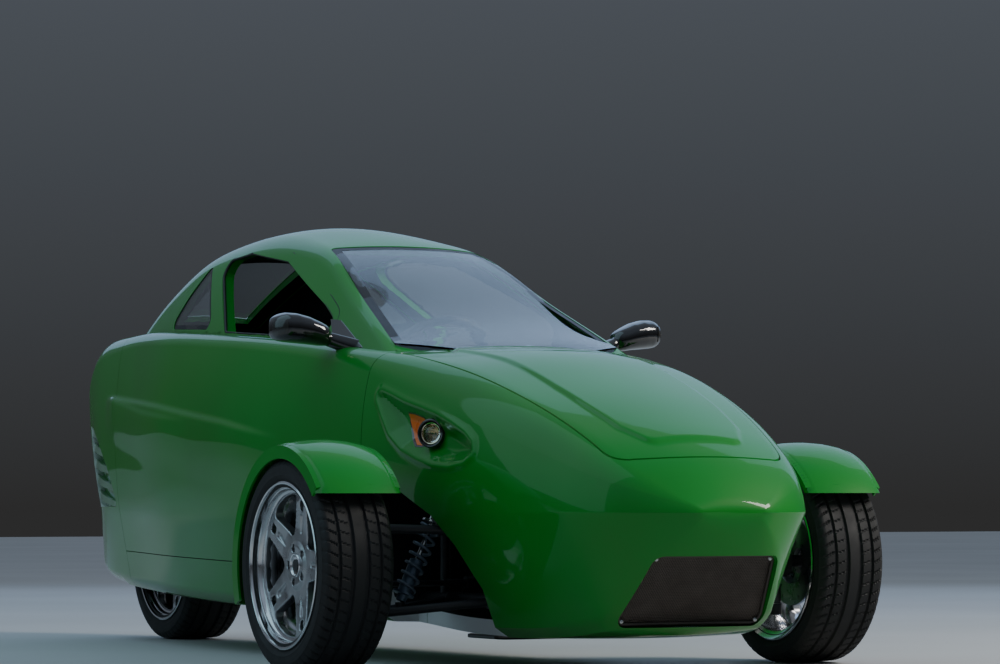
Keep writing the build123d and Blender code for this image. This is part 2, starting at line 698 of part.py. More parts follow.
def make_dampers():
    """Coil spring over a damper, leaning in from the lower arm to the frame."""
    foot = Vector(DAMPER_FOOT_X, 0, DAMPER_FOOT_Z + 6)
    top = Vector(DAMPER_TOP_X, 0, DAMPER_TOP_Z - 4)
    length = (top - foot).length
    pitch = (length - 90) / SPRING_TURNS
    points = [(0, 0), (14, 0), (14, 30), (SPRING_R, 34)]
    for i in range(SPRING_TURNS):
        z = 40 + pitch * i
        points += [(SPRING_R, z), (SPRING_R, z + pitch * 0.45)]
        points += [(DAMPER_R, z + pitch * 0.55), (DAMPER_R, z + pitch * 0.95)]
    points += [(SPRING_R, length - 44), (SPRING_R, length - 36)]
    points += [(14, length - 32), (14, length), (0, length)]
    face = Plane.XZ * make_face(Polyline(*points, close=True))
    unit = Solid.revolve(face.faces()[0], 360, Axis.Z)
    place = Plane(origin=(foot.X, at_d(DAMPER_D), foot.Z), x_dir=(0, 1, 0), z_dir=top - foot)
    damper = place.location * unit
    node("damper_left", damper)
    node("damper_right", mirrored(damper))


def make_knuckle():
    """Upright with its spindle, steering arm and the fender's stay."""
    post_low = LOWER_BALL_Z + 16
    post_high = UPPER_BALL_Z - 16
    post = tube((KINGPIN_X, 0, post_low), (KINGPIN_X, 0, post_high), 17)
    carrier = tube((KINGPIN_X - 24, 0, TYRE_R), (KINGPIN_X + 32, 0, TYRE_R), 44)
    spindle = tube((KINGPIN_X + 20, 0, TYRE_R), (TRACK_HALF + 62, 0, TYRE_R), SPINDLE_R)
    arm = fuse(
        tube((KINGPIN_X, 0, TIE_ROD_Z), (KINGPIN_X - 20, STEER_ARM, TIE_ROD_Z), 12),
        tube((KINGPIN_X - 20, STEER_ARM, TIE_ROD_Z - 12), (KINGPIN_X - 20, STEER_ARM, TIE_ROD_Z + 12), 17),
    )
    stay_x = FENDER_INNER_X - 2
    stay_z = STAY_Z
    fender_in = TYRE_R + ((TYRE_R + FENDER_GAP) ** 2 - STAY_D ** 2) ** 0.5
    stay = fuse(
        tube((KINGPIN_X, 0, stay_z), (stay_x, STAY_D, stay_z), 10),
        tube((stay_x, STAY_D, stay_z - 8), (stay_x, STAY_D, fender_in - 8), 9),
        tube((stay_x, STAY_D, fender_in - 14), (FENDER_INNER_X + 40, STAY_D, fender_in - 14), 7),
    )
    return fuse(post, carrier, spindle, arm, stay)


def make_fender():
    """Arched fender with a crowned top and rolled skirts at both edges."""
    low, high = FENDER_INNER_X, FENDER_OUTER_X
    inner = TYRE_R + FENDER_GAP
    middle = (low + high) / 2
    outline = [
        Line((low, inner - FENDER_SKIRT * 0.4), (low, inner)),
        ThreePointArc((low, inner), (middle, inner + FENDER_T + 10), (high, inner)),
        Line((high, inner), (high, inner - FENDER_SKIRT)),
        Line((high, inner - FENDER_SKIRT), (high - FENDER_T, inner - FENDER_SKIRT)),
        Line((high - FENDER_T, inner - FENDER_SKIRT), (high - FENDER_T, inner - FENDER_T)),
        ThreePointArc((high - FENDER_T, inner - FENDER_T), (middle, inner + 9), (low + FENDER_T, inner - FENDER_T)),
        Line((low + FENDER_T, inner - FENDER_T), (low + FENDER_T, inner - FENDER_SKIRT * 0.4)),
        Line((low + FENDER_T, inner - FENDER_SKIRT * 0.4), (low, inner - FENDER_SKIRT * 0.4)),
    ]
    face = Plane((0, 0, 0), x_dir=(1, 0, 0), z_dir=(0, -1, 0)) * make_face(outline)
    start = Rot(FENDER_REAR_ANGLE, 0, 0) * Rot(-90, 0, 0) * face.faces()[0]
    arch = Solid.revolve(start, FENDER_FRONT_ANGLE - FENDER_REAR_ANGLE, Axis.X)
    return Pos(0, FRONT_AXLE_Y, TYRE_R) * arch


def make_corners():
    knuckle = make_knuckle()
    fender = make_fender() - knuckle
    node("knuckle_left", knuckle)
    node("knuckle_right", mirrored(knuckle))
    node("fender_left", fender)
    node("fender_right", mirrored(fender))
    rods = tube((-RACK_END_X, RACK_D, RACK_Z), (RACK_END_X, RACK_D, RACK_Z), RACK_R)
    for side in (-1, 1):
        eye_x = side * (KINGPIN_X - 20)
        rods = fuse(
            rods,
            tube((side * (RACK_END_X - 10), RACK_D, RACK_Z), (eye_x, STEER_ARM, RACK_Z), 8),
            tube((eye_x, STEER_ARM, RACK_Z - 12), (eye_x, STEER_ARM, TIE_ROD_Z - 12 - SEAM), 15),
        )
    node("tie_rods", rods)


def make_rim():
    """Wheel about the X axis at the origin, its face towards +X."""
    half = RIM_W / 2
    seat, lip = RIM_SEAT_R, RIM_LIP_R
    barrel = turned([
        (-half, lip), (-half, lip - 16), (-half + 30, seat - RIM_WALL - 10), (half - 55, seat - RIM_WALL - 10),
        (half - 12, seat - RIM_WALL), (half, lip - 12), (half, lip), (half - 5, lip), (half - 7, seat),
        (-half + 7, seat), (-half + 5, lip),
    ])
    bore = SPINDLE_R + BEARING_FIT
    hub = turned([(-30, bore), (-30, 40), (0, 40), (0, HUB_R), (58, HUB_R), (66, 34), (66, bore)])
    disc = turned([(-36, 39), (-36, DISC_R), (-36 + DISC_T, DISC_R), (-36 + DISC_T, 39)])
    wheel = barrel + hub + disc
    reach = seat - RIM_WALL - 2
    outline = make_face(Polyline((HUB_R - 12, -38), (reach, -30), (reach, 30), (HUB_R - 12, 38), close=True))
    for centre, w, h in ((HUB_R + 24, 22, 34), (reach - 30, 30, 28)):
        outline = outline - Pos(centre, 0) * RectangleRounded(w, h, 6)
    spoke = extrude(Plane(origin=(44, 0, 0), x_dir=(0, 1, 0), z_dir=(1, 0, 0)) * outline, amount=26)
    for i in range(SPOKES):
        wheel = wheel + Rot(90 + i * 360 / SPOKES, 0, 0) * spoke
    return wheel


def make_tyre():
    edge = RIM_W / 2 - 7 - TYRE_FIT
    half = TYRE_W / 2
    seat = RIM_SEAT_R + TYRE_FIT
    section = [
        (edge, seat), (edge, RIM_LIP_R + 4), (half - 3, RIM_LIP_R + 12), (half, 250), (half - 5, TYRE_R - 12),
        (half - 20, TYRE_R - 1), (0, TYRE_R), (-half + 20, TYRE_R - 1), (-half + 5, TYRE_R - 12), (-half, 250),
        (-half + 3, RIM_LIP_R + 12), (-edge, RIM_LIP_R + 4), (-edge, seat),
    ]
    return turned(section)


def make_wheels():
    rim, tyre = make_rim(), make_tyre()
    for name, x, d in (("left", TRACK_HALF, 0), ("right", -TRACK_HALF, 0), ("rear", 0, WHEELBASE)):
        place = Pos(x, at_d(d), TYRE_R)
        node(f"rim_{name}", place * (rim if name == "left" else mirrored(rim)))
        node(f"tyre_{name}", place * tyre)


def make_rear_suspension():
    """Swing arm with the rear spindle, and its spring unit up to the bulkhead."""
    arm = tube((-SWING_ARM_X - 12, SWING_PIVOT_D, 300), (SWING_ARM_X + 12, SWING_PIVOT_D, 300), 22)
    for side in (-1, 1):
        x = side * SWING_ARM_X
        arm = arm + tube((x, SWING_PIVOT_D, 300), (x, WHEELBASE, TYRE_R), 17)
        arm = arm + tube((x - 13, WHEELBASE, TYRE_R), (x + 13, WHEELBASE, TYRE_R), 27)
    arm = arm + tube((-SWING_ARM_X, WHEELBASE, TYRE_R), (SWING_ARM_X, WHEELBASE, TYRE_R), SPINDLE_R)
    bracket = tube((0, REAR_BULKHEAD_D + SEAM, 300), (0, SWING_PIVOT_D, 300), 20)
    node("swing_arm", arm + bracket)
    shock = fuse(
        tube((SWING_ARM_X, SWING_PIVOT_D + 60, 316), (SWING_ARM_X, REAR_BULKHEAD_D + 34, 560), 26),
        tube((SWING_ARM_X, REAR_BULKHEAD_D + SEAM, 566), (SWING_ARM_X, REAR_BULKHEAD_D + 40, 566), 20),
    )
    shock = shock - (arm + bracket) - block(-600, 600, REAR_BULKHEAD_D - 100, REAR_BULKHEAD_D + SEAM, 0, 900)
    node("rear_spring", max(shock.solids(), key=lambda solid: solid.volume))


# Cabin fittings

def seat(d, back_top_d, back_top_z):
    floor_z = 205 + SEAM
    cushion = block(-SEAT_W / 2, SEAT_W / 2, d, d + 420, floor_z, floor_z + CUSHION_T)
    cushion = fillet(cushion.edges().filter_by(Axis.Z), 40)
    low, high = floor_z + CUSHION_T + SEAM, back_top_z
    outline = make_face(Polyline(
        (at_d(d + 330), low), (at_d(d + 430), low), (at_d(back_top_d), high), (at_d(back_top_d - 80), high), close=True,
    ))
    back = extrude(Pos(-SEAT_W / 2 + 10, 0, 0) * (Plane.YZ * outline), amount=SEAT_W - 20, dir=(1, 0, 0))
    return cushion, back


def make_cabin():
    node("seat_front", *seat(FRONT_SEAT_D, FRONT_SEAT_D + 590, 930))
    node("seat_rear", *seat(REAR_SEAT_D, REAR_BULKHEAD_D - PLATE_T - 4, 800))
    room = body_form(BODY_WALL + 1) + cabin_form(ROOF_WALL + 1)
    outline = make_face(Polyline(
        (at_d(DASH_D), 640), (at_d(DASH_D), 830), (at_d(DASH_D + 120), 860), (at_d(DASH_D + 210), 800),
        (at_d(DASH_D + 190), 700), (at_d(DASH_D + 100), 640), close=True,
    ))
    dash = extrude(Pos(-600, 0, 0) * (Plane.YZ * outline), amount=1200, dir=(1, 0, 0)) & room
    brace = block(-60, 60, BULKHEAD_D + PLATE_T + SEAM, DASH_D + 1, 660, 760)
    dash = (dash & block(-DASH_W, DASH_W, 0, 1000, 0, 1300)) + brace
    node("dashboard", dash)
    ring = Torus(STEERING_WHEEL_R, 14)
    spokes = Pos(0, 0, -6) * Cylinder(46, 22)
    for angle in (90, 210, 330):
        spokes = spokes + Rot(0, 0, angle) * (Pos(STEERING_WHEEL_R / 2, 0, -4) * Box(STEERING_WHEEL_R, 34, 10))
    column = Pos(0, 0, -90) * Cylinder(22, 180)
    wheel = Pos(0, at_d(DASH_D + 355), 812) * Rot(-62, 0, 0) * (ring + spokes + column)
    node("steering_wheel", wheel - dash)


os.makedirs("parts", exist_ok=True)
body_out = body_form(0)
cabin_out = cabin_form(0)
cabin_in = cabin_form(ROOF_WALL)
make_panels()
make_grille()
make_glass()
make_lamps()
make_mirrors()
make_tail_trim()
make_floor()
make_front_frame()
make_arms()
make_dampers()
make_corners()
make_wheels()
make_rear_suspension()
make_cabin()
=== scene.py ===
from collections import namedtuple
from math import atan2, cos, hypot, pi, radians, sin

import bmesh
import bpy
import numpy as np
from mathutils import Matrix, Vector


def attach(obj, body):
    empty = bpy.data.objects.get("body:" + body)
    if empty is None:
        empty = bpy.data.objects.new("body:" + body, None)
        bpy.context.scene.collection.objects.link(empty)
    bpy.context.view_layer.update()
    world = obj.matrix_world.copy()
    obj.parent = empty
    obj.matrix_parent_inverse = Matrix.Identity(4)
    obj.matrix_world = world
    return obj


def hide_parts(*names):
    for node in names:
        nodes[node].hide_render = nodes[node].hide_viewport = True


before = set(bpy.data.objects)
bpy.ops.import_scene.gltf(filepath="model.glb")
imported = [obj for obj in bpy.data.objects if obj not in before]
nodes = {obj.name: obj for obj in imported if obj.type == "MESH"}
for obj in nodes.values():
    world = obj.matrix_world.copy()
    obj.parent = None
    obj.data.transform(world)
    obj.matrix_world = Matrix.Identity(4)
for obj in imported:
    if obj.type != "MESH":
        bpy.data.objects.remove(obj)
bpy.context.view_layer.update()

X, Y, Z = (1, 0, 0), (0, 1, 0), (0, 0, 1)

# Sizes are in millimetres and turned into metres where a mesh is made. "d" is the distance
# behind the front axle, so the nose has negative values, and x, z are half width and height.
MM = 0.001
WHEELBASE = 2704.0
NOSE_OVERHANG = 900.0
TAIL_OVERHANG = 446.0
FRONT_AXLE_Y = -(WHEELBASE + TAIL_OVERHANG - NOSE_OVERHANG) / 2
TRACK_HALF = 742.0
TYRE_R = 284.0

BODY_WALL = 40.0
ROOF_WALL = 30.0
SHUT_GAP = 5.0
SEAM_GAP = 2.5
CLIP_D = 300.0
TAIL_PANEL_D = 2560.0
TUB_SEAM_FRONT_Z = 258.0
TUB_SEAM_REAR_Z = 318.0
REAR_ARCH_REACH = TYRE_R + 45
REAR_ARCH_HALF = 147.5
REAR_ARCH_TOP = 330.0

# Body sections below the window line
Station = namedtuple(
    "Station",
    "d sill_w keel_z sill_z crease_w crease_z bulge belt_w belt_z crown_z shoulder",
)
BODY = [
    Station(-900, 85, 402, 404, 108, 420, 2, 95, 434, 440, 4),
    Station(-850, 150, 300, 330, 205, 420, 4, 172, 470, 502, 15),
    Station(-780, 190, 210, 245, 285, 420, 8, 240, 516, 565, 35),
    Station(-640, 245, 105, 122, 350, 419, 14, 300, 592, 642, 60),
    Station(-350, 320, 90, 95, 405, 412, 24, 365, 706, 757, 80),
    Station(0, 360, 94, 100, 435, 405, 30, 405, 802, 852, 90),
    Station(400, 382, 120, 125, 454, 397, 32, 441, 868, 885, 48),
    Station(1100, 398, 130, 142, 470, 392, 30, 453, 930, 940, 40),
    Station(1800, 358, 140, 155, 428, 402, 27, 412, 972, 982, 42),
    Station(2400, 280, 162, 172, 330, 420, 24, 315, 996, 1006, 50),
    Station(2850, 218, 185, 195, 250, 434, 20, 245, 994, 1008, 65),
    Station(3060, 165, 215, 228, 178, 438, 16, 214, 935, 958, 65),
    Station(3150, 132, 262, 276, 143, 440, 12, 192, 848, 872, 50),
]

# Cabin sections above the window line
Cabin = namedtuple("Cabin", "d base_w base_z rail_w rail_z bow crown_z shoulder")
CABIN = [
    Cabin(150, 430, 740, 402, 760, 2, 815, 20),
    Cabin(334, 440, 790, 372, 868, 4, 912, 20),
    Cabin(700, 440, 800, 315, 1032, 10, 1072, 30),
    Cabin(1050, 440, 800, 262, 1196, 16, 1222, 40),
    Cabin(1500, 425, 800, 250, 1245, 20, 1290, 60),
    Cabin(1900, 385, 800, 245, 1220, 18, 1262, 60),
    Cabin(2250, 330, 800, 235, 1130, 12, 1165, 50),
    Cabin(2620, 260, 800, 215, 985, 6, 1010, 40),
    Cabin(2720, 240, 800, 200, 940, 4, 965, 30),
]

# Outlines in side view, (d, z)
SIDE_WINDOW = [(590, 905), (830, 1018), (1220, 1166), (1545, 1210), (1775, 1195), (1492, 962)]
QUARTER_WINDOW = [(1625, 978), (1868, 1190), (1994, 1098), (2110, 1000)]
DOOR = [(430, 330), (430, 905), (800, 1050), (1160, 1203), (1510, 1243), (1790, 1236),
        (1862, 1204), (1560, 950), (1540, 330)]
WINDOW_ROUND = 34.0
QUARTER_ROUND = 22.0
LOUVRE_ROUND = 16.0
WHEEL_ARCH = [(-260, 40), (-229, 220), (-140, 336), (-49, 415), (107, 482), (355, 482), (355, 40)]
LAMP_RECESS = [
    (236, 752), (178, 685), (138, 640), (72, 600), (-10, 574), (-84, 558), (-164, 552), (-234, 561),
    (-268, 580), (-260, 600), (-222, 624), (-154, 650), (-76, 675), (-5, 692), (88, 712), (163, 734),
]
LOUVRE_WINDOW = [(2590, 440), (2640, 505), (2720, 575), (2860, 652), (3000, 702), (3085, 715), (3085, 440)]


def at_d(d):
    return FRONT_AXLE_Y + d


# Sections of the body and the cabin

TABLE_STEP = 5.0


def rows_at(rows, places):
    """Rows of a table at many places, by cubic steps that lie flat at a turning point."""
    table = np.array(rows, float)
    steps = np.diff(table, axis=0) / np.diff(table[:, :1], axis=0)
    before, after = steps[:-1], steps[1:]
    same_way = before * after > 0
    inside = np.divide(2 * before * after, before + after, out=np.zeros_like(before), where=same_way)
    tilt = np.vstack([steps[:1], inside, steps[-1:]])
    index = np.clip(np.searchsorted(table[:, 0], places, "right") - 1, 0, len(table) - 2)
    low, high = table[index], table[index + 1]
    span = high[:, :1] - low[:, :1]
    t = (places[:, None] - low[:, :1]) / span
    bend = (1 - t) * tilt[index] - t * tilt[index + 1]
    return low + (high - low) * t * t * (3 - 2 * t) + span * t * (1 - t) * bend


def smoothed(values, spread):
    """Running average along the car with a bell of the given spread, ends carried on straight."""
    reach = int(3 * spread / TABLE_STEP)
    bell = np.exp(-0.5 * (np.arange(-reach, reach + 1) * TABLE_STEP / spread) ** 2)
    bell /= bell.sum()
    before = 2 * values[0] - values[reach:0:-1]
    after = 2 * values[-1] - values[-2:-reach - 2:-1]
    return np.convolve(np.concatenate([before, values, after]), bell, "valid")


def even_table(rows, fine, coarse, turn_d):
    """Table at every TABLE_STEP, evened out: a little ahead of turn_d and more behind it."""
    count = int(round((rows[-1].d - rows[0].d) / TABLE_STEP))
    places = rows[0].d + TABLE_STEP * np.arange(count + 1)
    table = rows_at(rows, places)
    blend = np.clip((places - turn_d) / 250, 0, 1)
    for column in table.T[1:]:
        column[:] = smoothed(column, fine) * (1 - blend) + smoothed(column, coarse) * blend
    table[:, 0] = places
    return table


body_table = even_table(BODY, 18.0, 70.0, -640.0)
cabin_table = even_table(CABIN, 30.0, 70.0, 300.0)


def interpolated(places, keys, table):
    """Row of a table at each of the places, its rows standing at the keys."""
    return np.stack([np.interp(places, keys, column) for column in table.T], -1)


def body_at(d):
    return Station(*interpolated(d, body_table[:, 0], body_table))


def cabin_at(d):
    return Cabin(*interpolated(d, cabin_table[:, 0], cabin_table))


def arc(a, m, b, count, share0=0.0, share1=1.0):
    """Points along part of the circle arc from a through m to b, ends included."""
    (ax, ay), (mx, my), (bx, by) = a, m, b
    turn = 2 * ((mx - ax) * (by - ay) - (my - ay) * (bx - ax))
    shares = np.linspace(share0, share1, count)
    if abs(turn) < 1e-6:
        return np.column_stack([ax + (bx - ax) * shares, ay + (by - ay) * shares])
    m2 = (mx - ax) ** 2 + (my - ay) ** 2
    b2 = (bx - ax) ** 2 + (by - ay) ** 2
    cx = ax + ((by - ay) * m2 - (my - ay) * b2) / turn
    cy = ay + ((mx - ax) * b2 - (bx - ax) * m2) / turn
    start, mid, end = (atan2(y - cy, x - cx) for x, y in (a, m, b))
    sweep = (end - start) % (2 * pi)
    if (mid - start) % (2 * pi) > sweep:
        sweep -= 2 * pi
    angle = start + sweep * shares
    radius = hypot(ax - cx, ay - cy)
    return np.column_stack([cx + radius * np.cos(angle), cy + radius * np.sin(angle)])


def length_of(points):
    return np.hypot(*np.diff(points, axis=0).T).sum()


def upper_half(foot, bow, corner, rounding, crown_z, counts):
    """Bowed side, rounded shoulder and crown, from the side's foot up to the centre line."""
    run, rise = corner[0] - foot[0], corner[1] - foot[1]
    out = bow / hypot(run, rise)
    mid = ((foot[0] + corner[0]) / 2 + out * rise, (foot[1] + corner[1]) / 2 - out * run)
    crown_ends = ((0.0, crown_z), (-corner[0], corner[1]))
    keep = 1 - rounding / length_of(arc(foot, mid, corner, 60))
    turn = rounding / length_of(arc(corner, *crown_ends, 90))
    side = arc(foot, mid, corner, counts[0], 0.0, keep)
    crown = arc(corner, *crown_ends, counts[2], turn, 0.5)
    blend = (side[-1] + 2 * np.array(corner) + crown[0]) / 4
    shoulder = arc(side[-1], blend, crown[0], counts[1])
    return np.vstack([side, shoulder[1:-1], crown])


def eased(points, index, reach, rounds=12):
    """Rounds off the corner at an index by averaging the points near it."""
    near = np.hypot(*(points - points[index]).T) < reach
    near[0] = near[-1] = False
    for _ in range(rounds):
        middle = (points[:-2] + points[2:]) / 2
        points[1:-1][near[1:-1]] = (0.5 * points[1:-1] + 0.5 * middle)[near[1:-1]]
    return points


KEEL_POINTS = 12
LOW_POINTS = 26
CREASE_POINT = KEEL_POINTS + LOW_POINTS - 2
CABIN_FLOOR_POINTS = 8
BODY_COUNTS = (84, 16, 56)
CABIN_COUNTS = (44, 14, 44)
CREASE_EASE = 16.0


def body_half(d, inset):
    """Half section from the keel's middle round to the crown's middle, as (x, z)."""
    s = body_at(d)
    sill = (s.sill_w - inset, s.sill_z + inset)
    crease = (s.crease_w - inset, s.crease_z)
    belt = (s.belt_w - inset, s.belt_z - inset * 0.6)
    keel = arc((-sill[0], sill[1]), (0.0, s.keel_z + inset), sill, KEEL_POINTS, 0.5, 1.0)
    low = np.linspace(sill, crease, LOW_POINTS)
    rounding = max(s.shoulder - inset * 0.5, s.shoulder * 0.4)
    upper = upper_half(crease, s.bulge, belt, rounding, s.crown_z - inset, BODY_COUNTS)
    half = eased(np.vstack([keel[:-1], low[:-1], upper]), KEEL_POINTS - 1, 22)
    return eased(half, CREASE_POINT, CREASE_EASE, 4)


def cabin_half(d, inset):
    s = cabin_at(d)
    base = (s.base_w - inset, s.base_z - inset)
    rail = (s.rail_w - inset, s.rail_z - inset * 0.5)
    upper = upper_half(base, s.bow, rail, s.shoulder, s.crown_z - inset, CABIN_COUNTS)
    floor = np.linspace((0.0, base[1]), base, CABIN_FLOOR_POINTS)
    return np.vstack([floor[:-1], upper])


def loop_of(half, d):
    """Closed section from its half, as points in space."""
    outline = np.vstack([half, half[-2:0:-1] * (-1, 1)])
    return np.column_stack([outline[:, 0], np.full(len(outline), at_d(d)), outline[:, 1]])


def end_round(d, first, last, radius):
    """How far a section draws in close to the ends, so that they are rounded."""
    near = min(d - first, last - d)
    return radius - (radius ** 2 - (radius - near) ** 2) ** 0.5 if near < radius else 0.0


def skin_x(d, z):
    """Half width of the outer skin at a place in side view."""
    widths = []
    for table, half, first in ((body_table, body_half, CREASE_POINT),
                               (cabin_table, cabin_half, CABIN_FLOOR_POINTS)):
        if table[0, 0] <= d <= table[-1, 0]:
            upper = half(d, 0.0)[first:]
            if upper[0, 1] <= z <= upper[-1, 1]:
                widths.append(np.interp(z, upper[:, 1], upper[:, 0]))
    return max(widths)


# Meshes and solids

def placed(name, data):
    """New object in the scene."""
    obj = bpy.data.objects.new(name, data)
    bpy.context.scene.collection.objects.link(obj)
    return obj


def loft(name, loops, closed=False):
    """Solid through loops of as many points each, capped, or led back to the first loop."""
    loops = np.asarray(loops)
    rows, count = loops.shape[:2]
    size = rows * count
    row = np.arange(rows if closed else rows - 1)[:, None] * count
    a, b = row + np.arange(count), row + (np.arange(count) + 1) % count
    faces = np.stack([a, b, (b + count) % size, (a + count) % size], -1).reshape(-1, 4).tolist()
    if not closed:
        faces += [list(range(count))[::-1], list(range(size - count, size))]
    mesh = bpy.data.meshes.new(name)
    mesh.from_pydata((loops.reshape(-1, 3) * MM).tolist(), [], faces)
    mesh.shade_smooth()
    bm = bmesh.new()
    bm.from_mesh(mesh)
    bmesh.ops.recalc_face_normals(bm, faces=bm.faces)
    bm.to_mesh(mesh)
    bm.free()
    return placed(name, mesh)


def copy_of(obj, name="copy"):
    return placed(name, obj.data.copy())


def baked(obj):
    """Puts what an object's modifiers make of it in the place of its mesh."""
    mesh = bpy.data.meshes.new_from_object(obj.evaluated_get(bpy.context.evaluated_depsgraph_get()))
    obj.modifiers.clear()
    old, obj.data = obj.data, mesh
    mesh.name = obj.name
    bpy.data.meshes.remove(old)
    return obj


def with_modifier(obj, kind, **settings):
    modifier = obj.modifiers.new("shape", kind)
    for key, value in settings.items():
        setattr(modifier, key, value)
    return baked(obj)


def boolean(operation):
    """Function that works each of its tools into a solid in turn, and removes the tool."""
    def work(target, *tools):
        for tool in tools:
            with_modifier(target, "BOOLEAN", operation=operation, solver="MANIFOLD", object=tool)
            bpy.data.objects.remove(tool)
        return target
    return work


cut, common, joined = boolean("DIFFERENCE"), boolean("INTERSECT"), boolean("UNION")


def winding(outline):
    """Above zero for an outline that runs from its first axis to its second."""
    x, y = np.asarray(outline, float).T
    return np.sum(x * np.roll(y, -1) - y * np.roll(x, -1))


def rounded(points, radius, grow=0.0, steps=7):
    """Closed outline with round corners; grow moves every edge outwards."""
    points = np.array(points if winding(points) >= 0 else points[::-1], float)
    edge = np.roll(points, -1, 0) - points
    edge /= np.hypot(*edge.T)[:, None]
    normal = np.column_stack([edge[:, 1], -edge[:, 0]])
    outline = []
    for i, point in enumerate(points):
        n0, n1, e0, e1 = normal[i - 1], normal[i], edge[i - 1], edge[i]
        corner = point + grow * (n0 + n1) / (1 + n0 @ n1)
        bend = np.arccos(np.clip(e0 @ e1, -1, 1))
        side = 1 if e0[0] * e1[1] - e0[1] * e1[0] > 0 else -1
        r = max(radius + side * grow, 0.5)
        start = corner - e0 * r * np.tan(bend / 2)
        centre = start - side * r * n0
        a0 = atan2(*(start - centre)[::-1])
        for k in range(steps + 1):
            a = a0 + side * bend * k / steps
            outline.append(centre + r * np.array([cos(a), sin(a)]))
    return np.array(outline)


def grown(outline, amount):
    """Outline of many points moved outwards along its normals."""
    if not amount:
        return outline
    along = np.roll(outline, -1, 0) - np.roll(outline, 1, 0)
    along /= np.hypot(*along.T)[:, None]
    normal = np.column_stack([along[:, 1], -along[:, 0]])
    return outline + normal * amount * (1 if winding(outline) > 0 else -1)


def plug(outline, x0, x1):
    """Solid from an outline of (y, z) points, between two x."""
    return loft("plug", [[(x, y, z) for y, z in outline] for x in (x0, x1)])


def side_prism(outline, x0, x1):
    """Solid from a side view outline of (d, z) points, between two x."""
    return plug([(at_d(d), z) for d, z in outline], x0, x1)


def plan_prism(outline, z0, z1, lean=0.0):
    """Solid from a plan outline of (x, d) points; lean tips its axis backwards, in degrees."""
    slip = np.tan(radians(lean))
    return loft("prism", [[(x, at_d(d) + slip * z, z) for x, d in outline] for z in (z0, z1)])


def block(x0, x1, d0, d1, z0, z1):
    return side_prism([(d0, z0), (d1, z0), (d1, z1), (d0, z1)], x0, x1)


def both_sides(outline, x0, x1):
    return joined(side_prism(outline, x0, x1), side_prism(outline, -x1, -x0))


# Shape of the whole shell

def depth_inside(px, py, outline):
    """Distance of each point inside a closed outline, negative outside."""
    px, py = np.asarray(px, float), np.asarray(py, float)
    best = np.full(px.shape, 1e9)
    inside = np.zeros(px.shape, bool)
    for (ax, ay), (bx, by) in zip(outline, np.roll(outline, -1, 0)):
        ex, ey = bx - ax, by - ay
        wx, wy = px - ax, py - ay
        t = np.clip((wx * ex + wy * ey) / (ex * ex + ey * ey), 0, 1)
        best = np.minimum(best, np.hypot(wx - t * ex, wy - t * ey))
        crosses = (ay > py) != (by > py)
        with np.errstate(divide="ignore", invalid="ignore"):
            inside ^= crosses & (px < (bx - ax) * (py - ay) / (by - ay) + ax)
    return np.where(inside, best, -best)


def step(value, low, high):
    t = np.clip((value - low) / (high - low), 0, 1)
    return t * t * (3 - 2 * t)


HOOD_PANEL_HALF = [(235, 250), (212, -60), (206, -330), (196, -480), (176, -620), (130, -712)]
HOOD_RISE = 7.0
RECESS_DEPTH = 30.0
RECESS_RIM = 5.0
CREASE_END = (2560, 2760)
# Side creases: line in (d, z), rise, where it begins and is full, how far below the line it fades
SIDE_CREASES = [
    ([(795, 630), (1251, 691), (1902, 752), (2098, 766), (2613, 799)], 8.0, 800, 1150, 210),
    ([(1636, 705), (2089, 737), (2613, 794)], 3.5, 1500, 1900, 160),
]


def shape_features(loops, raised=0.0):
    """Moves the outer skin along its normals for the hood panel, lamp recesses and side creases."""
    along = np.gradient(loops, axis=0)
    around = np.roll(loops, -1, 1) - np.roll(loops, 1, 1)
    normal = np.cross(around, along)
    normal /= np.maximum(np.linalg.norm(normal, axis=2, keepdims=True), 1e-9)
    x, d, z = loops[..., 0], loops[..., 1] - FRONT_AXLE_Y, loops[..., 2]
    middle_z = z.mean(axis=1, keepdims=True)
    normal *= np.sign(np.sum(normal * np.stack([x, 0 * d, z - middle_z], -1)))
    top = step(normal[..., 2], 0.25, 0.5)
    side = step(np.abs(normal[..., 0]), 0.25, 0.45) * (z > 440)
    ahead = d < 420

    panel = rounded(HOOD_PANEL_HALF + [(-x, d) for x, d in HOOD_PANEL_HALF[::-1]], 40)
    lift = raised + HOOD_RISE * step(depth_inside(x, d, panel), -9, 9) * top * ahead
    deep = depth_inside(d, z, rounded(LAMP_RECESS, 8, 0.0, 3))
    bowl = -RECESS_DEPTH * step(deep, -3, 40) - 6 * step(deep, -6, 8)
    rim = RECESS_RIM * np.exp(-((deep + 12) / 10.0) ** 2)
    lift += (bowl + rim) * side * ahead
    for line, rise, begin, full, reach in SIDE_CREASES:
        below = np.interp(d, *np.transpose(line)) - z
        shown = step(d, begin, full) * (1 - step(d, *CREASE_END)) * (side > 0.5)
        lift += rise * shown * step(below, -9, 11) * (1 - step(below, 20, reach))
    return loops + normal * lift[..., None]


def spaced(first, last, step_length):
    return list(np.linspace(first, last, max(2, int(round((last - first) / step_length)) + 1)))


def outer_places():
    """Places of the sections, closest at both ends and along the hood."""
    places = [-900, -898.5, -896, -892, -887, -881, -874]
    for last, step_length in ((-310, 9.0), (310, 6.0), (940, 14.0), (2760, 14.0), (3130, 12.0)):
        places += spaced(places[-1], last, step_length)[1:]
    return places + [3136, 3141, 3145, 3148, 3149.5, 3150]


def outer_body(raised=0.0):
    loops = []
    for d in outer_places():
        draw = end_round(d, BODY[0].d, BODY[-1].d, 15.0 if d < 0 else 38.0)
        loops.append(loop_of(body_half(d, draw), d))
    return loft("outer_body", shape_features(np.array(loops), raised))


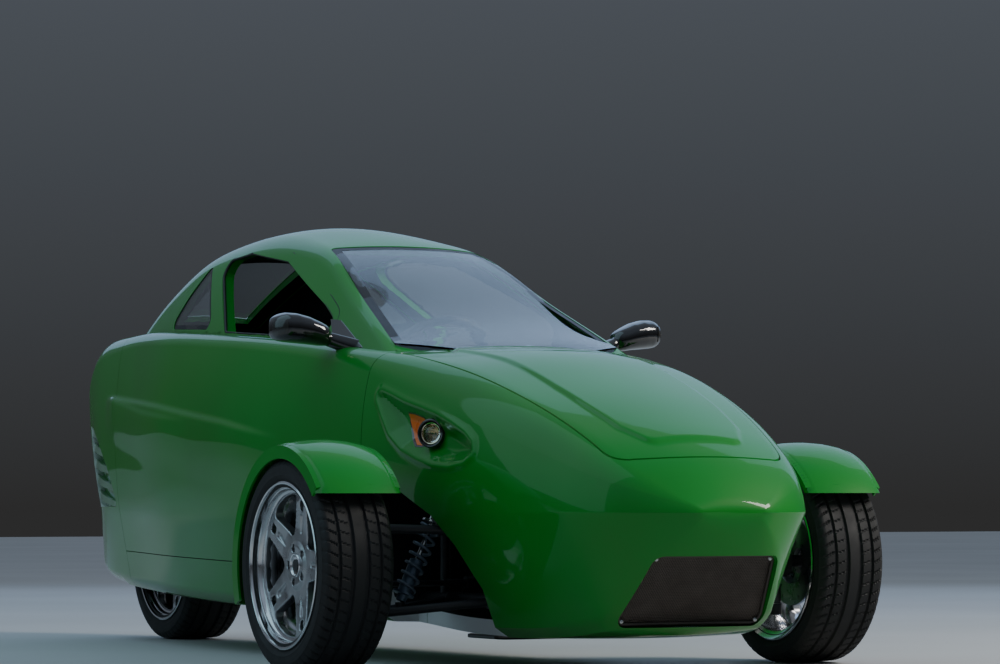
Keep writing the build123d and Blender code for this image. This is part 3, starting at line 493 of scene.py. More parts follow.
def inner_body(inset):
    places = spaced(BODY[2].d, BODY[-1].d - inset, 36.0)
    return loft("inner_body", [loop_of(body_half(d, inset), d) for d in places])


def cabin_solid(inset, spacing=10.0):
    first = CABIN[1].d if inset > ROOF_WALL / 2 else CABIN[0].d
    places = spaced(first - abs(inset), CABIN[-1].d + abs(inset), spacing)
    return loft("cabin", [loop_of(cabin_half(d, inset), d) for d in places])


# Outlines in plan, (x, d)

HOOD_FRONT = (254.0, -728.0)
HOOD_REAR = (372.0, 300.0)
HOOD_REAR_MID_D = 150.0
SCREEN_BASE = (348.0, 352.0)
SCREEN_BASE_MID_D = 190.0
SCREEN_TOP = (236.0, 1040.0)
HATCH_W = 178.0
HATCH_FRONT_D = 1900.0
HATCH_REAR_D = 2560.0
HATCH_LEAN = 25.0
HATCH_PIVOT_Z = 1120.0
HATCH_RIM = 45.0


def corner_eased(outline, radius, corners):
    """Swaps the corners on both sides of a symmetric outline for arcs, cut back along its edges."""
    result = []
    for i, point in enumerate(outline):
        gap = min(hypot(abs(point[0]) - x, point[1] - d) for x, d in corners)
        if gap > radius:
            result.append(point)
        elif gap < 1.0:
            before, after = outline[i - 1] - point, outline[(i + 1) % len(outline)] - point
            a = point + before / hypot(*before) * radius
            b = point + after / hypot(*after) * radius
            for t in np.linspace(0, 1, 9):
                result.append((1 - t) ** 2 * a + 2 * t * (1 - t) * point + t * t * b)
    return np.array(result)


def hood_shape():
    (fx, fd), (rx, rd) = HOOD_FRONT, HOOD_REAR
    side = arc(HOOD_FRONT, ((fx + rx) / 2 + 12, (fd + rd) / 2), HOOD_REAR, 30)
    back = arc(HOOD_REAR, (0, HOOD_REAR_MID_D), (-rx, rd), 40)
    nose = arc((-fx, fd), (0, fd - 58), HOOD_FRONT, 30)
    outline = np.vstack([side[:-1], back[:-1], side[:0:-1] * (-1, 1), nose[:-1]])
    return corner_eased(outline, 46, [HOOD_FRONT, HOOD_REAR])


def screen_outline(grow=0.0):
    (bx, bd), (tx, td) = SCREEN_BASE, SCREEN_TOP
    low = arc((-bx, bd), (0, SCREEN_BASE_MID_D), SCREEN_BASE, 40)
    right = np.linspace(SCREEN_BASE, SCREEN_TOP, 24)
    high = arc(SCREEN_TOP, (0, td - 40), (-tx, td), 24)
    outline = np.vstack([low[:-1], right[:-1], high[:-1], right[:0:-1] * (-1, 1)])
    return grown(corner_eased(outline, 26, [SCREEN_BASE, SCREEN_TOP]), grow)


def hatch_tool(grow):
    rear_w = HATCH_W * 0.9
    points = [(-HATCH_W, HATCH_FRONT_D), (HATCH_W, HATCH_FRONT_D),
              (rear_w, HATCH_REAR_D), (-rear_w, HATCH_REAR_D)]
    slip = np.tan(radians(HATCH_LEAN)) * HATCH_PIVOT_Z
    return plan_prism(rounded(points, 45, grow) - (0, slip), 950, 1350, HATCH_LEAN)


def door_tool(grow):
    """Solid behind the door's outline, which widens a little outwards."""
    outline = rounded(DOOR, 38, grow)
    loops = []
    for x, share in ((90, 0.965), (620, 1.045)):
        loops.append([(x, at_d(1000 + (d - 1000) * share), 790 + (z - 790) * share) for d, z in outline])
    return loft("door_tool", loops)


def door_zone(grow):
    edge = [(SCREEN_BASE[0] + 22, 200), (SCREEN_BASE[0] + 22, SCREEN_BASE[1]),
            (SCREEN_TOP[0] + 14, SCREEN_TOP[1]), (222, 1300), (222, 2100)]
    return plan_prism([(x - grow, d) for x, d in edge] + [(900, 2100), (900, 200)], 0, 1500)


def grille_tool():
    outline = rounded([(-179, 311), (179, 311), (219, 128), (-219, 128)], 28)
    return loft("grille_tool", [[(x, at_d(d), z) for x, z in outline] for d in (-960, -560)])


def toned(obj, index):
    """Gives a solid both finishes of the shell, and all its faces the one at the index."""
    obj.data.materials.append(bpy.data.materials["car_paint"])
    obj.data.materials.append(bpy.data.materials["lining"])
    obj.data.polygons.foreach_set("material_index", [index] * len(obj.data.polygons))
    return obj


TAIL_LAMP = (92.0, 760.0, 38.0)
TAIL_LAMP_T = 14.0
PLATE_BOLTS = (90.0, 560.0, 4.0)


def tail_holes():
    """Pockets of the tail lamps and the plate's two holes, as tools to cut with."""
    lamp_x, lamp_z, lamp_r = TAIL_LAMP
    floor_d = WHEELBASE + TAIL_OVERHANG - TAIL_LAMP_T - 0.5
    tools = []
    for side in (-1, 1):
        for x, z, r, start in ((lamp_x, lamp_z, lamp_r + 0.5, floor_d), (*PLATE_BOLTS, 3000)):
            ends = [((side * x, at_d(d), z), r, r) for d in (start, 3300)]
            tools.append(toned(pillow("hole", ends, X, Z, 48, 2.0), 1))
    return tools


def slab(d0, d1):
    return block(-900, 900, d0, d1, 0, 1300)


def below_seam(shift):
    front_z, rear_z = TUB_SEAM_FRONT_Z + shift, TUB_SEAM_REAR_Z + shift
    return side_prism([(0, -50), (0, front_z), (4000, rear_z), (4000, -50)], -900, 900)


def make_body():
    """The shell, cut into the panels of the car."""
    cabin = toned(cabin_solid(0), 0)
    shell = joined(toned(outer_body(), 0), copy_of(cabin))
    cut(shell, toned(inner_body(BODY_WALL), 1), toned(cabin_solid(ROOF_WALL, 20.0), 1))
    windows = side_prism(rounded(SIDE_WINDOW, WINDOW_ROUND), -700, 700)
    arches = both_sides(rounded(WHEEL_ARCH, 30), 275, 900)
    wheel_space = toned(block(-REAR_ARCH_HALF, REAR_ARCH_HALF, WHEELBASE - REAR_ARCH_REACH,
                              WHEELBASE + REAR_ARCH_REACH, 0, REAR_ARCH_TOP), 1)
    hood = hood_shape()

    pieces = {}
    pieces["door_left"] = cut(common(copy_of(shell), door_tool(0), door_zone(0)), copy_of(windows))
    pieces["hood"] = cut(common(copy_of(shell), plan_prism(grown(hood, -SHUT_GAP), 440, 1100)),
                         cabin_solid(-SHUT_GAP, 20.0))
    door_gap = common(door_tool(SHUT_GAP), door_zone(SHUT_GAP))
    cut(shell, door_gap, cut(plan_prism(hood, 440, 1100), copy_of(cabin)))

    roof = common(copy_of(shell), plan_prism([(-430, 150), (430, 150), (430, 2760), (-430, 2760)], 700, 1400))
    cut(roof, windows, side_prism(rounded(QUARTER_WINDOW, QUARTER_ROUND), -700, 700),
        plan_prism(screen_outline(), 700, 1500), hatch_tool(0))
    pieces["roof_frame"] = common(roof, copy_of(cabin))
    pieces["hatch"] = cut(common(copy_of(shell), hatch_tool(-SHUT_GAP)), hatch_tool(-SHUT_GAP - HATCH_RIM))

    cut(shell, cabin)
    pieces["nose_shell"] = cut(common(copy_of(shell), slab(-1000, CLIP_D)), copy_of(arches), grille_tool())
    middle = common(copy_of(shell), slab(CLIP_D + SEAM_GAP, TAIL_PANEL_D))
    cut(middle, arches, copy_of(wheel_space))
    pieces["lower_tub"] = common(copy_of(middle), below_seam(-SEAM_GAP))
    cut(middle, below_seam(0))
    pieces["side_right"] = common(copy_of(middle), block(-900, 0, 0, 4000, 0, 1300))
    pieces["side_left"] = common(middle, block(0, 900, 0, 4000, 0, 1300))
    louvres = both_sides(rounded(LOUVRE_WINDOW, LOUVRE_ROUND), 110, 600)
    tail = common(shell, slab(TAIL_PANEL_D + SEAM_GAP, 4000))
    pieces["tail_shell"] = cut(tail, wheel_space, louvres, *tail_holes())

    bodies = {"door_left": "door", "hood": "hood_lid", "hatch": "hatch_lid"}
    for node, piece in pieces.items():
        piece.name = node + "_skin"
        finished(piece, bodies.get(node, "root"), None, "body_paint", 32.0, (node,))


# Materials

def dress(obj, material):
    obj.data.materials.clear()
    obj.data.materials.append(material)


def feed(owner, node, **inputs):
    """Gives inputs of a shader node a value each, or the output that feeds them."""
    for name, value in inputs.items():
        socket = node.inputs[name.replace("_", " ")]
        if isinstance(value, bpy.types.NodeSocket):
            owner.node_tree.links.new(value, socket)
        else:
            socket.default_value = value
    return node


def new_node(owner, kind, **inputs):
    return feed(owner, owner.node_tree.nodes.new("ShaderNode" + kind), **inputs)


def material_base(name, color, roughness, **inputs):
    """New material and its shader."""
    material = bpy.data.materials.new(name)
    material.use_nodes = True
    shader = material.node_tree.nodes["Principled BSDF"]
    feed(material, shader, Base_Color=(*color, 1), Roughness=roughness, **inputs)
    return material, shader


def place_in(material):
    return new_node(material, "TexCoord").outputs["Object"]


def noise_in(material, scale, detail):
    """Noise in the object's own space, at a scale per metre."""
    noise = new_node(material, "TexNoise", Vector=place_in(material), Scale=scale, Detail=detail)
    return noise.outputs["Fac"]


def ramp_over(owner, value, *stops):
    """Colour that follows a value through two (position, colour) stops."""
    ramp = new_node(owner, "ValToRGB", Fac=value)
    for element, (position, color) in zip(ramp.color_ramp.elements, stops):
        element.position = position
        element.color = (*color, 1)
    return ramp.outputs["Color"]


def drift(material, noise, dark, light):
    return ramp_over(material, noise, (0.3, dark), (0.7, light))


def between(material, noise, low, high):
    spread = new_node(material, "MapRange", Value=noise, From_Min=0.3, From_Max=0.7, To_Min=low, To_Max=high)
    return spread.outputs["Result"]


def product(material, a, b):
    node = new_node(material, "Math")
    node.operation = "MULTIPLY"
    material.node_tree.links.new(a, node.inputs[0])
    material.node_tree.links.new(b, node.inputs[1])
    return node.outputs["Value"]


def bumped(material, height, distance, strength):
    bump = new_node(material, "Bump", Height=height, Distance=distance, Strength=strength)
    return bump.outputs["Normal"]


PAINT_DARK = (0.004, 0.215, 0.012)
PAINT_LIGHT = (0.006, 0.255, 0.018)
DUST = (0.10, 0.085, 0.06, 1)


def car_paint():
    """Solid green under a clear coat, with faint orange peel and a trace of road dust low down."""
    material, shader = material_base("car_paint", PAINT_LIGHT, 0.42, Specular_IOR_Level=0.12,
                                     Coat_Weight=0.75, Coat_IOR=1.38, Coat_Roughness=0.025)
    green = drift(material, noise_in(material, 1.7, 2), PAINT_DARK, PAINT_LIGHT)
    height = new_node(material, "SeparateXYZ", Vector=place_in(material)).outputs["Z"]
    low = new_node(material, "MapRange", Value=height, From_Min=0.42, From_Max=0.10, To_Max=0.16)
    amount = product(material, low.outputs["Result"], noise_in(material, 9, 6))
    mix = new_node(material, "Mix")
    mix.data_type = "RGBA"
    feed(material, mix, Factor=amount, A=green, B=DUST)
    peel = bumped(material, noise_in(material, 420, 1), 0.00004, 0.25)
    feed(material, shader, Base_Color=mix.outputs["Result"], Coat_Normal=peel)


def clear_glass(name, tint=(0.80, 0.88, 0.92)):
    material, shader = material_base(name, tint, 0.0, Transmission_Weight=1.0, IOR=1.45)
    feed(material, shader, Roughness=between(material, noise_in(material, 14, 5), 0.0, 0.02))
    return material


def speckled(name, dark, light, roughness, spread, broad, grain, depth, **inputs):
    """Finish whose colour and roughness drift with a broad noise, over a fine grain."""
    material, shader = material_base(name, light, roughness, **inputs)
    noise = noise_in(material, *broad)
    low, high = (min(1.0, roughness * share) for share in spread)
    feed(material, shader, Base_Color=drift(material, noise, dark, light),
         Roughness=between(material, noise, low, high),
         Normal=bumped(material, noise_in(material, grain, 2), depth, 0.4))
    return material


def plastic(name, dark, light, roughness, grain=900, depth=0.0001, coat=0.0):
    return speckled(name, dark, light, roughness, (0.85, 1.15), (12, 4), grain, depth,
                    Coat_Weight=coat, Coat_Roughness=0.05)


def metal(name, dark, light, roughness, grain=700, depth=0.00005, metallic=1.0):
    return speckled(name, dark, light, roughness, (0.8, 1.25), (25, 5), grain, depth, Metallic=metallic)


def rubber():
    return speckled("rubber", (0.007, 0.007, 0.0075), (0.015, 0.015, 0.0145), 0.72,
                    (0.6 / 0.72, 0.8 / 0.72), (22, 6), 1500, 0.0001)


def woven(name, dark, light, pitch=260):
    """Plain weave from two crossed waves."""
    material, shader = material_base(name, light, 0.85, Sheen_Weight=0.25)
    waves = []
    for direction in ("X", "Y"):
        wave = new_node(material, "TexWave", Vector=place_in(material), Scale=pitch, Distortion=0.6)
        wave.bands_direction = direction
        waves.append(wave.outputs["Fac"])
    feed(material, shader, Base_Color=drift(material, noise_in(material, 18, 4), dark, light),
         Normal=bumped(material, product(material, *waves), 0.0006, 0.6))
    return material


def assign_cad_materials():
    """Finish of the CAD nodes that no piece stands for; the shell's nodes keep their own."""
    finishes = [
        ("windshield", clear_glass("screen_glass")),
        ("quarter_glasses", clear_glass("quarter_glass")),
        ("hatch_glass", clear_glass("rear_glass")),
        ("floor_tub", plastic("black_trim", (0.012, 0.012, 0.013), (0.022, 0.022, 0.024), 0.5)),
        ("front_frame wishbones_left wishbones_right tie_rods swing_arm",
         metal("satin_black_steel", (0.012, 0.012, 0.013), (0.03, 0.03, 0.032), 0.42, metallic=0.3)),
        ("knuckle_left knuckle_right engine_block",
         metal("cast_iron", (0.05, 0.05, 0.052), (0.12, 0.12, 0.122), 0.55, 300, 0.0003)),
        ("rear_spring", metal("damper_paint", (0.06, 0.085, 0.12), (0.12, 0.16, 0.21), 0.35, metallic=0.5)),
        ("dashboard", plastic("dash_grain", (0.012, 0.012, 0.013), (0.03, 0.03, 0.032), 0.6, 500, 0.0005)),
        ("fender_left fender_right", bpy.data.materials["car_paint"]),
    ]
    for names, material in finishes:
        for name in names.split():
            dress(nodes[name], material)


# Small solids

def turned(name, profile, steps=96, shift=None):
    """Ring about the X axis from its closed (x, r) profile; shift gives a change of r at an angle."""
    x, r = np.array(profile, float).T
    loops = []
    for angle in np.linspace(0, 2 * pi, steps, endpoint=False):
        reach = r + shift(x, r, angle) if shift else r
        loops.append(np.column_stack([x, reach * cos(angle), reach * sin(angle)]))
    return loft(name, loops, closed=True)


def frames_along(path, closed):
    """Two directions across a path at each of its points, carried along without twist."""
    along = np.roll(path, -1, 0) - np.roll(path, 1, 0) if closed else np.gradient(path, axis=0)
    along /= np.linalg.norm(along, axis=1)[:, None]
    across = np.array([0, 0, 1.0] if abs(along[0][2]) < 0.9 else [1.0, 0, 0])
    pairs = []
    for t in along:
        across = across - t * (across @ t)
        across /= np.linalg.norm(across)
        pairs.append((across, np.cross(t, across)))
    return pairs


def tube(name, path, radii, sides=14, closed=False, flat=1.0):
    """Round bar along a path, of one radius or of one for each point."""
    path = np.asarray(path, float)
    turn = np.linspace(0, 2 * pi, sides, endpoint=False)[:, None]
    loops = [
        p + r * (np.cos(turn) * u * flat + np.sin(turn) * v)
        for p, r, (u, v) in zip(path, np.broadcast_to(radii, len(path)), frames_along(path, closed))
    ]
    return loft(name, loops, closed)


def along_curve(points, count):
    """Points spread evenly over a soft curve through the given points."""
    soft = np.array(points, float)
    for _ in range(3):
        fine = np.linspace(0, len(soft) - 1, 2 * len(soft) - 1)
        soft = interpolated(fine, np.arange(len(soft)), soft)
        soft[1:-1] = (soft[:-2] + 2 * soft[1:-1] + soft[2:]) / 4
    far = np.concatenate([[0], np.cumsum(np.linalg.norm(np.diff(soft, axis=0), axis=1))])
    return interpolated(np.linspace(0, far[-1], count), far, soft)


def gathered(name, objects):
    """One mesh of several, each keeping its own closed form."""
    bm = bmesh.new()
    for obj in objects:
        bm.from_mesh(obj.data)
        bpy.data.objects.remove(obj)
    mesh = bpy.data.meshes.new(name)
    bm.to_mesh(mesh)
    bm.free()
    return placed(name, mesh)


def moved(obj, matrix):
    """Mesh moved by a matrix in millimetres, its faces still outward."""
    scaled = matrix.copy()
    scaled.translation = matrix.translation * MM
    obj.data.transform(scaled)
    if matrix.determinant() < 0:
        obj.data.flip_normals()
    return obj


def mirrored(obj, name="twin"):
    return moved(copy_of(obj, name), Matrix.Diagonal((-1, 1, 1, 1)))


def doubled(name, obj):
    """One piece of a form and its mirror image."""
    return gathered(name, [mirrored(obj), obj])


def softened(obj, voxel, rounds, keep):
    """Solid with its edges rounded: remeshed at a voxel size in mm, smoothed, and thinned out."""
    with_modifier(obj, "REMESH", mode="VOXEL", voxel_size=voxel * MM)
    with_modifier(obj, "SMOOTH", factor=0.5, iterations=rounds)
    return with_modifier(obj, "DECIMATE", ratio=keep)


def finished(obj, body, material, slot=None, angle=35.0, replaced=()):
    """Shading, finish and movement of a new piece, and the finish of the nodes it stands for; slot is not
    used.
    """
    obj.data.shade_smooth()
    obj.data.set_sharp_from_angle(angle=radians(angle))
    if material:
        for form in [obj] + [nodes[name] for name in replaced]:
            dress(form, material)
    if replaced:
        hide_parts(*replaced)
    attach(obj, body)


def finished_pair(kind, form, bodies, material, angle, slot=None, node=None):
    """A piece on the left and its mirror image on the right; node names the CAD pair they replace."""
    other = mirrored(form, f"{kind}_right")
    form.name = f"{kind}_left"
    for piece, body, place in zip((form, other), bodies, ("left", "right")):
        finished(piece, body, material, slot, angle, (f"{node}_{place}",) if node else ())


def ellipse_loop(centre, u, v, a, b, count=40, power=2.0):
    """Closed loop of a rounded section; power over 2 squares it up."""
    turn = np.linspace(0, 2 * pi, count, endpoint=False)
    c, s = np.cos(turn), np.sin(turn)
    p = a * np.sign(c) * np.abs(c) ** (2 / power)
    q = b * np.sign(s) * np.abs(s) ** (2 / power)
    return np.asarray(centre) + p[:, None] * np.asarray(u, float) + q[:, None] * np.asarray(v, float)


def circle(radius, count):
    return ellipse_loop((0, 0, 0), X, Y, radius, radius, count)[:, :2]


def pillow(name, stations, u, v, count=40, power=2.6):
    """Solid through (centre, a, b) stations of a rounded section."""
    return loft(name, [ellipse_loop(centre, u, v, a, b, count, power) for centre, a, b in stations])


# Wheels

SPOKES = 5
SPOKE_TURN = 108.0
NUT_RING_R = 47.0
WHEELS = {"left": (1, 0.0, "steer_left"), "right": (-1, 0.0, "steer_right"), "rear": (-1, WHEELBASE, "root")}


def turned_outline(outline, angle):
    """Plan outline of (u, v) points turned about the origin, in degrees."""
    a = radians(angle)
    return np.asarray(outline) @ np.array([[cos(a), sin(a)], [-sin(a), cos(a)]])


def wheel_disc():
    """Spokes and hub: a dished plate with openings, a window in each spoke and seats for the nuts."""
    front = [(30, 60), (52, 63), (66, 57), (100, 57), (140, 63), (170, 68), (192, 66)]
    back = [(192, 44), (150, 38), (100, 27), (64, 20), (30, 20)]
    plate = turned("wheel_disc", [(x, r) for r, x in front + back], 160)
    rim_side = [(187 * cos(radians(a)), 187 * sin(radians(a))) for a in (-26.5, -13, 0, 13, 26.5)]
    gap = rounded([(76, 0)] + rim_side, 15)
    window = rounded([(150, -11), (176, -14), (176, 14), (150, 11)], 7)
    groove = rounded([(86, -7), (140, -9), (140, 9), (86, 7)], 6)
    seat = circle(11, 24) + (NUT_RING_R, 0)
    for i in range(SPOKES):
        spoke = SPOKE_TURN + i * 72
        for outline, angle, x in ((gap, spoke + 36, -20), (window, spoke, -20), (groove, spoke, 54),
                                  (seat, spoke + 36, 48)):
            cut(plate, plug(turned_outline(outline, angle), x, 120))
    return softened(plate, 2.2, 4, 0.3)


def wheel_barrel():
    return turned("wheel_barrel", [
        (-100, 217), (-98, 220.5), (-94, 220.5), (-91, 204), (-64, 202), (-52, 191), (0, 189), (22, 192),
        (34, 202), (91, 204), (94, 220.5), (98, 220.5), (100, 217), (98.5, 213), (88, 210), (84, 207),
        (82, 201), (74, 199.5), (71, 197), (69, 191), (50, 186), (20, 181), (-40, 181), (-62, 193),
        (-88, 196), (-94, 210),
    ], 144)


TREAD_HALF = 84.0
TREAD_PITCHES = 60
GROOVES = (-58.0, -21.0, 21.0, 58.0)


def tread_shift(x, r, angle):
    """Depth of the tread's cross grooves at an angle: slanted ones on the shoulders, sipes between."""
    pitch = angle * TREAD_PITCHES / (2 * pi)
    shoulder = (np.abs(x) > 64) & (r > 262)
    slant = np.where(x > 0, 1, -1) * (np.abs(x) - 64) * 0.018
    wide = shoulder & ((pitch + slant) % 1.0 < 0.2)
    rib = (np.abs(x) > 25) & (np.abs(x) < 54) & (r > 262)
    sipe = rib & ((pitch + 0.5 + x * 0.012) % 1.0 < 0.12)
    return -4.5 * wide * np.clip((102 - np.abs(x)) / 10, 0, 1) - 3.5 * sipe


def wheel_tyre():
    across = np.linspace(-TREAD_HALF, TREAD_HALF, 49)
    crown = 283.6 - 3.2 * (across / TREAD_HALF) ** 2
    for groove in GROOVES:
        crown -= 6.0 * (np.abs(across - groove) < 4.2)
    wall = [(90, 277.5), (95, 271.5), (99, 264), (101, 262), (102, 255), (102.3, 248), (101, 240),
            (101.8, 237.5), (98.5, 231), (96, 227), (93, 223.5), (92.7, 204.5)]
    profile = list(zip(across, crown)) + wall + [(-x, r) for x, r in wall[::-1]]
    return turned("wheel_tyre", profile, 480, tread_shift)


def brake_disc():
    disc = turned("brake_disc", [(-36, 64), (-36, 124), (-34, 125), (-26, 125), (-24, 124), (-24, 66),
                                 (-4, 62), (-4, 38), (-10, 36), (-12, 56), (-30, 60)])
    for angle in range(0, 360, 24):
        for reach in (84, 108):
            cut(disc, plug(turned_outline(circle(3, 10) + (reach, 0), angle + reach * 0.5), -60, -18))
    return disc


def caliper():
    """Clamp over the disc's rear edge, with a slot for it."""
    loops = []
    for share in np.linspace(-1, 1, 15):
        a = radians(8 + 27 * share)
        out = np.array([0, cos(a), sin(a)])
        fat = 1 - 0.25 * abs(share) ** 4
        loops.append(ellipse_loop(out * 112 + (-30, 0, 0), X, out, 25 * fat, 27 * fat, 28, 4.0))
    return cut(loft("caliper", loops), turned("slot", [(-38, 60), (-22, 60), (-22, 128), (-38, 128)]))


def wheel_place(side, x, d):
    """Move from the origin to a wheel's centre, mirrored on the side that is below zero."""
    return Matrix.Translation((x, at_d(d), TYRE_R)) @ Matrix.Diagonal((side, 1, 1, 1))


def make_wheels():
    alloy = metal("alloy_satin", (0.36, 0.365, 0.38), (0.50, 0.505, 0.52), 0.30, 500, 0.00004)
    polished = metal("alloy_polished", (0.62, 0.625, 0.64), (0.74, 0.745, 0.76), 0.13, 300, 0.00002)
    steel = metal("disc_steel", (0.22, 0.22, 0.225), (0.34, 0.34, 0.345), 0.3, 900, 0.00006)
    dark = metal("caliper_iron", (0.03, 0.03, 0.032), (0.07, 0.07, 0.075), 0.5, 400, 0.0002)
    hexagon = circle(9.5, 6) + (NUT_RING_R, 0)
    nuts = [plug(turned_outline(hexagon, SPOKE_TURN + 36 + i * 72), 40, 55) for i in range(SPOKES)]
    cap = [(6, 8), (58, 8), (60, 14), (60, 24), (64, 27), (64.5, 30), (62, 31.5), (6, 31.5)]
    clamp = caliper()
    # Form, finish, slot, replaced node and shading angle of each kind
    forms = {
        "disc": (wheel_disc(), alloy, "alloy", "rim", 60.0),
        "barrel": (wheel_barrel(), polished, None, None, 30.0),
        "tyre": (wheel_tyre(), rubber(), "tyre", "tyre", 30.0),
        "brake": (brake_disc(), steel, None, None, 30.0),
        "nuts": (gathered("nuts", nuts), steel, None, None, 30.0),
        "cap": (turned("cap", cap, 48), polished, None, None, 30.0),
    }
    for place, (side, d, holder) in WHEELS.items():
        centre = wheel_place(side, side * TRACK_HALF if place != "rear" else 0.0, d)
        for kind, (form, material, slot, node, angle) in forms.items():
            piece = moved(copy_of(form, f"wheel_{place}_{kind}"), centre)
            finished(piece, f"wheel_{place}", material, slot, angle, (f"{node}_{place}",) if node else ())
        if place != "rear":
            finished(moved(copy_of(clamp, f"caliper_{place}"), centre), holder, dark)
    for form in [clamp] + [row[0] for row in forms.values()]:
        bpy.data.objects.remove(form)


# Fenders

FENDER_ANGLES = (-20.0, 150.0)
FENDER_FRONT_Z = 188.0
FENDER_T = 4.0


def fender_form():
    """Arched sheet with rolled edges and a soft dimple on top, about the X axis at the origin."""
    section = np.array([
        (612, 300), (613, 309), (618, 315.5), (640, 321), (680, 327.5), (731, 330.5), (780, 328.5),
        (822, 322), (838, 317), (846, 310.5), (849.5, 302), (850, 290), (848.5, 281.5), (844.5, 280),
        (843, 283),
    ], float)
    along = np.gradient(section, axis=0)
    along /= np.hypot(*along.T)[:, None]
    inner = (section + np.column_stack([along[:, 1], -along[:, 0]]) * FENDER_T)[:-3]
    x = np.concatenate([section[:, 0], inner[::-1, 0]]) - TRACK_HALF
    loops = []
    for angle in np.linspace(*FENDER_ANGLES, 84):
        a = radians(angle)
        near = min(angle - FENDER_ANGLES[0], FENDER_ANGLES[1] - angle)
        draw = 1.2 * (1 - min(near / 2.0, 1.0)) ** 2
        dip = 4.0 * np.exp(-((angle - 84) / 7.0) ** 2 - ((section[:, 0] - 770) / 26.0) ** 2)
        inner_r = inner[:, 1] - dip[:len(inner)] + draw
        r = np.concatenate([section[:, 1] - dip - draw, inner_r[::-1]])
        loops.append(np.column_stack([x, r * cos(a), r * sin(a)]))
    low = plug([(-420, -100), (-120, -100), (-120, FENDER_FRONT_Z), (-420, FENDER_FRONT_Z)], -260, 260)
    return cut(loft("fender", loops), low)


def make_fenders():
    form = fender_form()
    for place, side in (("left", 1), ("right", -1)):
        piece = moved(copy_of(form, f"fender_{place}_sheet"), wheel_place(side, side * TRACK_HALF, 0.0))
        finished(piece, f"steer_{place}", bpy.data.materials["car_paint"], "fender_paint", 40.0)
    bpy.data.objects.remove(form)


# Lamps

LAMP_OUT = Vector((0.80, -0.60, 0.05)).normalized()
LAMP_INSET = 10.0
LAMP_DEPTH = 22.0
LAMP_D, LAMP_Z = -48.0, 632.0
INDICATOR = [(100, 688), (60, 684), (8, 672), (-2, 600), (28, 602), (62, 622), (88, 648), (102, 668)]
FORWARD, BACKWARD = Vector((0, -1, 0)), Vector(Y)


def aimed(obj, centre, out):
    """Moves a ring about the X axis so that it faces along out from a centre."""
    turn = Vector(X).rotation_difference(out).to_matrix().to_4x4()
    return moved(obj, Matrix.Translation(centre) @ turn)


def make_headlamps():
    gloss = plastic("lamp_black", (0.004, 0.004, 0.005), (0.010, 0.010, 0.011), 0.12, 900, 0.00002, 1.0)
    chrome = metal("lamp_chrome", (0.72, 0.62, 0.42), (0.84, 0.76, 0.58), 0.10, 200, 0.00001)
    amber = plastic("amber_lens", (0.90, 0.145, 0.003), (1.0, 0.20, 0.005), 0.3, 60, 0.0002, 0.1)
    brass = metal("lamp_brass", (0.42, 0.33, 0.14), (0.60, 0.50, 0.26), 0.22, 120, 0.0003)
    lens = clear_glass("lamp_glass", (0.92, 0.95, 0.97))
    centre = Vector((skin_x(LAMP_D, LAMP_Z) - LAMP_INSET, at_d(LAMP_D), LAMP_Z)) - LAMP_OUT * LAMP_DEPTH
    t = np.linspace(0.06, 1.45, 12)
    shell = list(zip(26 - 12 * (1 - np.cos(t)), 22.5 * np.sin(t)))
    forms = {
        "bezel": (gloss, 72, [(-70, 30), (-70, 38), (10, 40), (20, 40), (24, 38.5), (25.5, 36), (25, 33),
                              (20, 29), (8, 27), (-20, 26)]),
        "ring": (chrome, 64, [(-8, 20), (16, 23.5), (20.5, 26.5), (21, 28.5), (17, 28.5), (-8, 27)]),
        "dome": (lens, 48, shell + [(2, 22.3), (2, 1.3)]),
        "reflector": (brass, 40, [(-60, 1), (-60, 25.5), (-2, 25.5), (-2, 22), (-6, 18), (-14, 12),
                                  (-18, 1)]),
    }
    for kind, (material, steps, profile) in forms.items():
        form = aimed(turned(kind, profile, steps), centre, LAMP_OUT)
        named = ("lamp_bowl", "headlamp") if kind == "bezel" else ()
        finished_pair(f"lamp_{kind}", form, ("root", "root"), material, 40.0, *named)

    outline = rounded(INDICATOR, 9)
    across = LAMP_OUT.orthogonal().normalized()
    for kind, grow, raised, material in (("lens", 0.0, 1.8, amber), ("lens_seal", 5.0, 1.0, gloss)):
        piece = common(outer_body(raised), side_prism(grown(outline, grow), 250, 700))
        bore = [(centre + LAMP_OUT * reach, 43 - grow, 43 - grow) for reach in (-120, 90)]
        cut(piece, inner_body(38.5), pillow("bore", bore, across, LAMP_OUT.cross(across), 40, 2.0))
        if kind == "lens_seal":
            cut(piece, side_prism(outline, 240, 710))
        named = ("amber_lens", 40.0, ("indicators",)) if kind == "lens" else (None, 40.0)
        finished(doubled(f"indicator_{kind}", piece), "root", material, *named)


# Mirrors, with the case as rows of (x, d, z, half width, half height)

MIRROR_CASE = np.array([
    (452, 572, 914, 22, 22), (462, 567, 916, 33, 29), (482, 570, 921, 43, 34), (515, 578, 930, 53, 39),
    (550, 586, 936, 58, 42), (580, 592, 938, 57, 41), (596, 596, 937, 51, 37), (606, 600, 936, 40, 30),
    (612, 603, 935, 26, 20), (614, 604, 935, 12, 9),
], float)
MIRROR_FACE = 0.62
MIRROR_SAIL = [((748, 972), (660, 900)), ((686, 966), (470, 880))]


def mirror_section(x):
    return interpolated(x, MIRROR_CASE[:, 0], MIRROR_CASE)[1:]


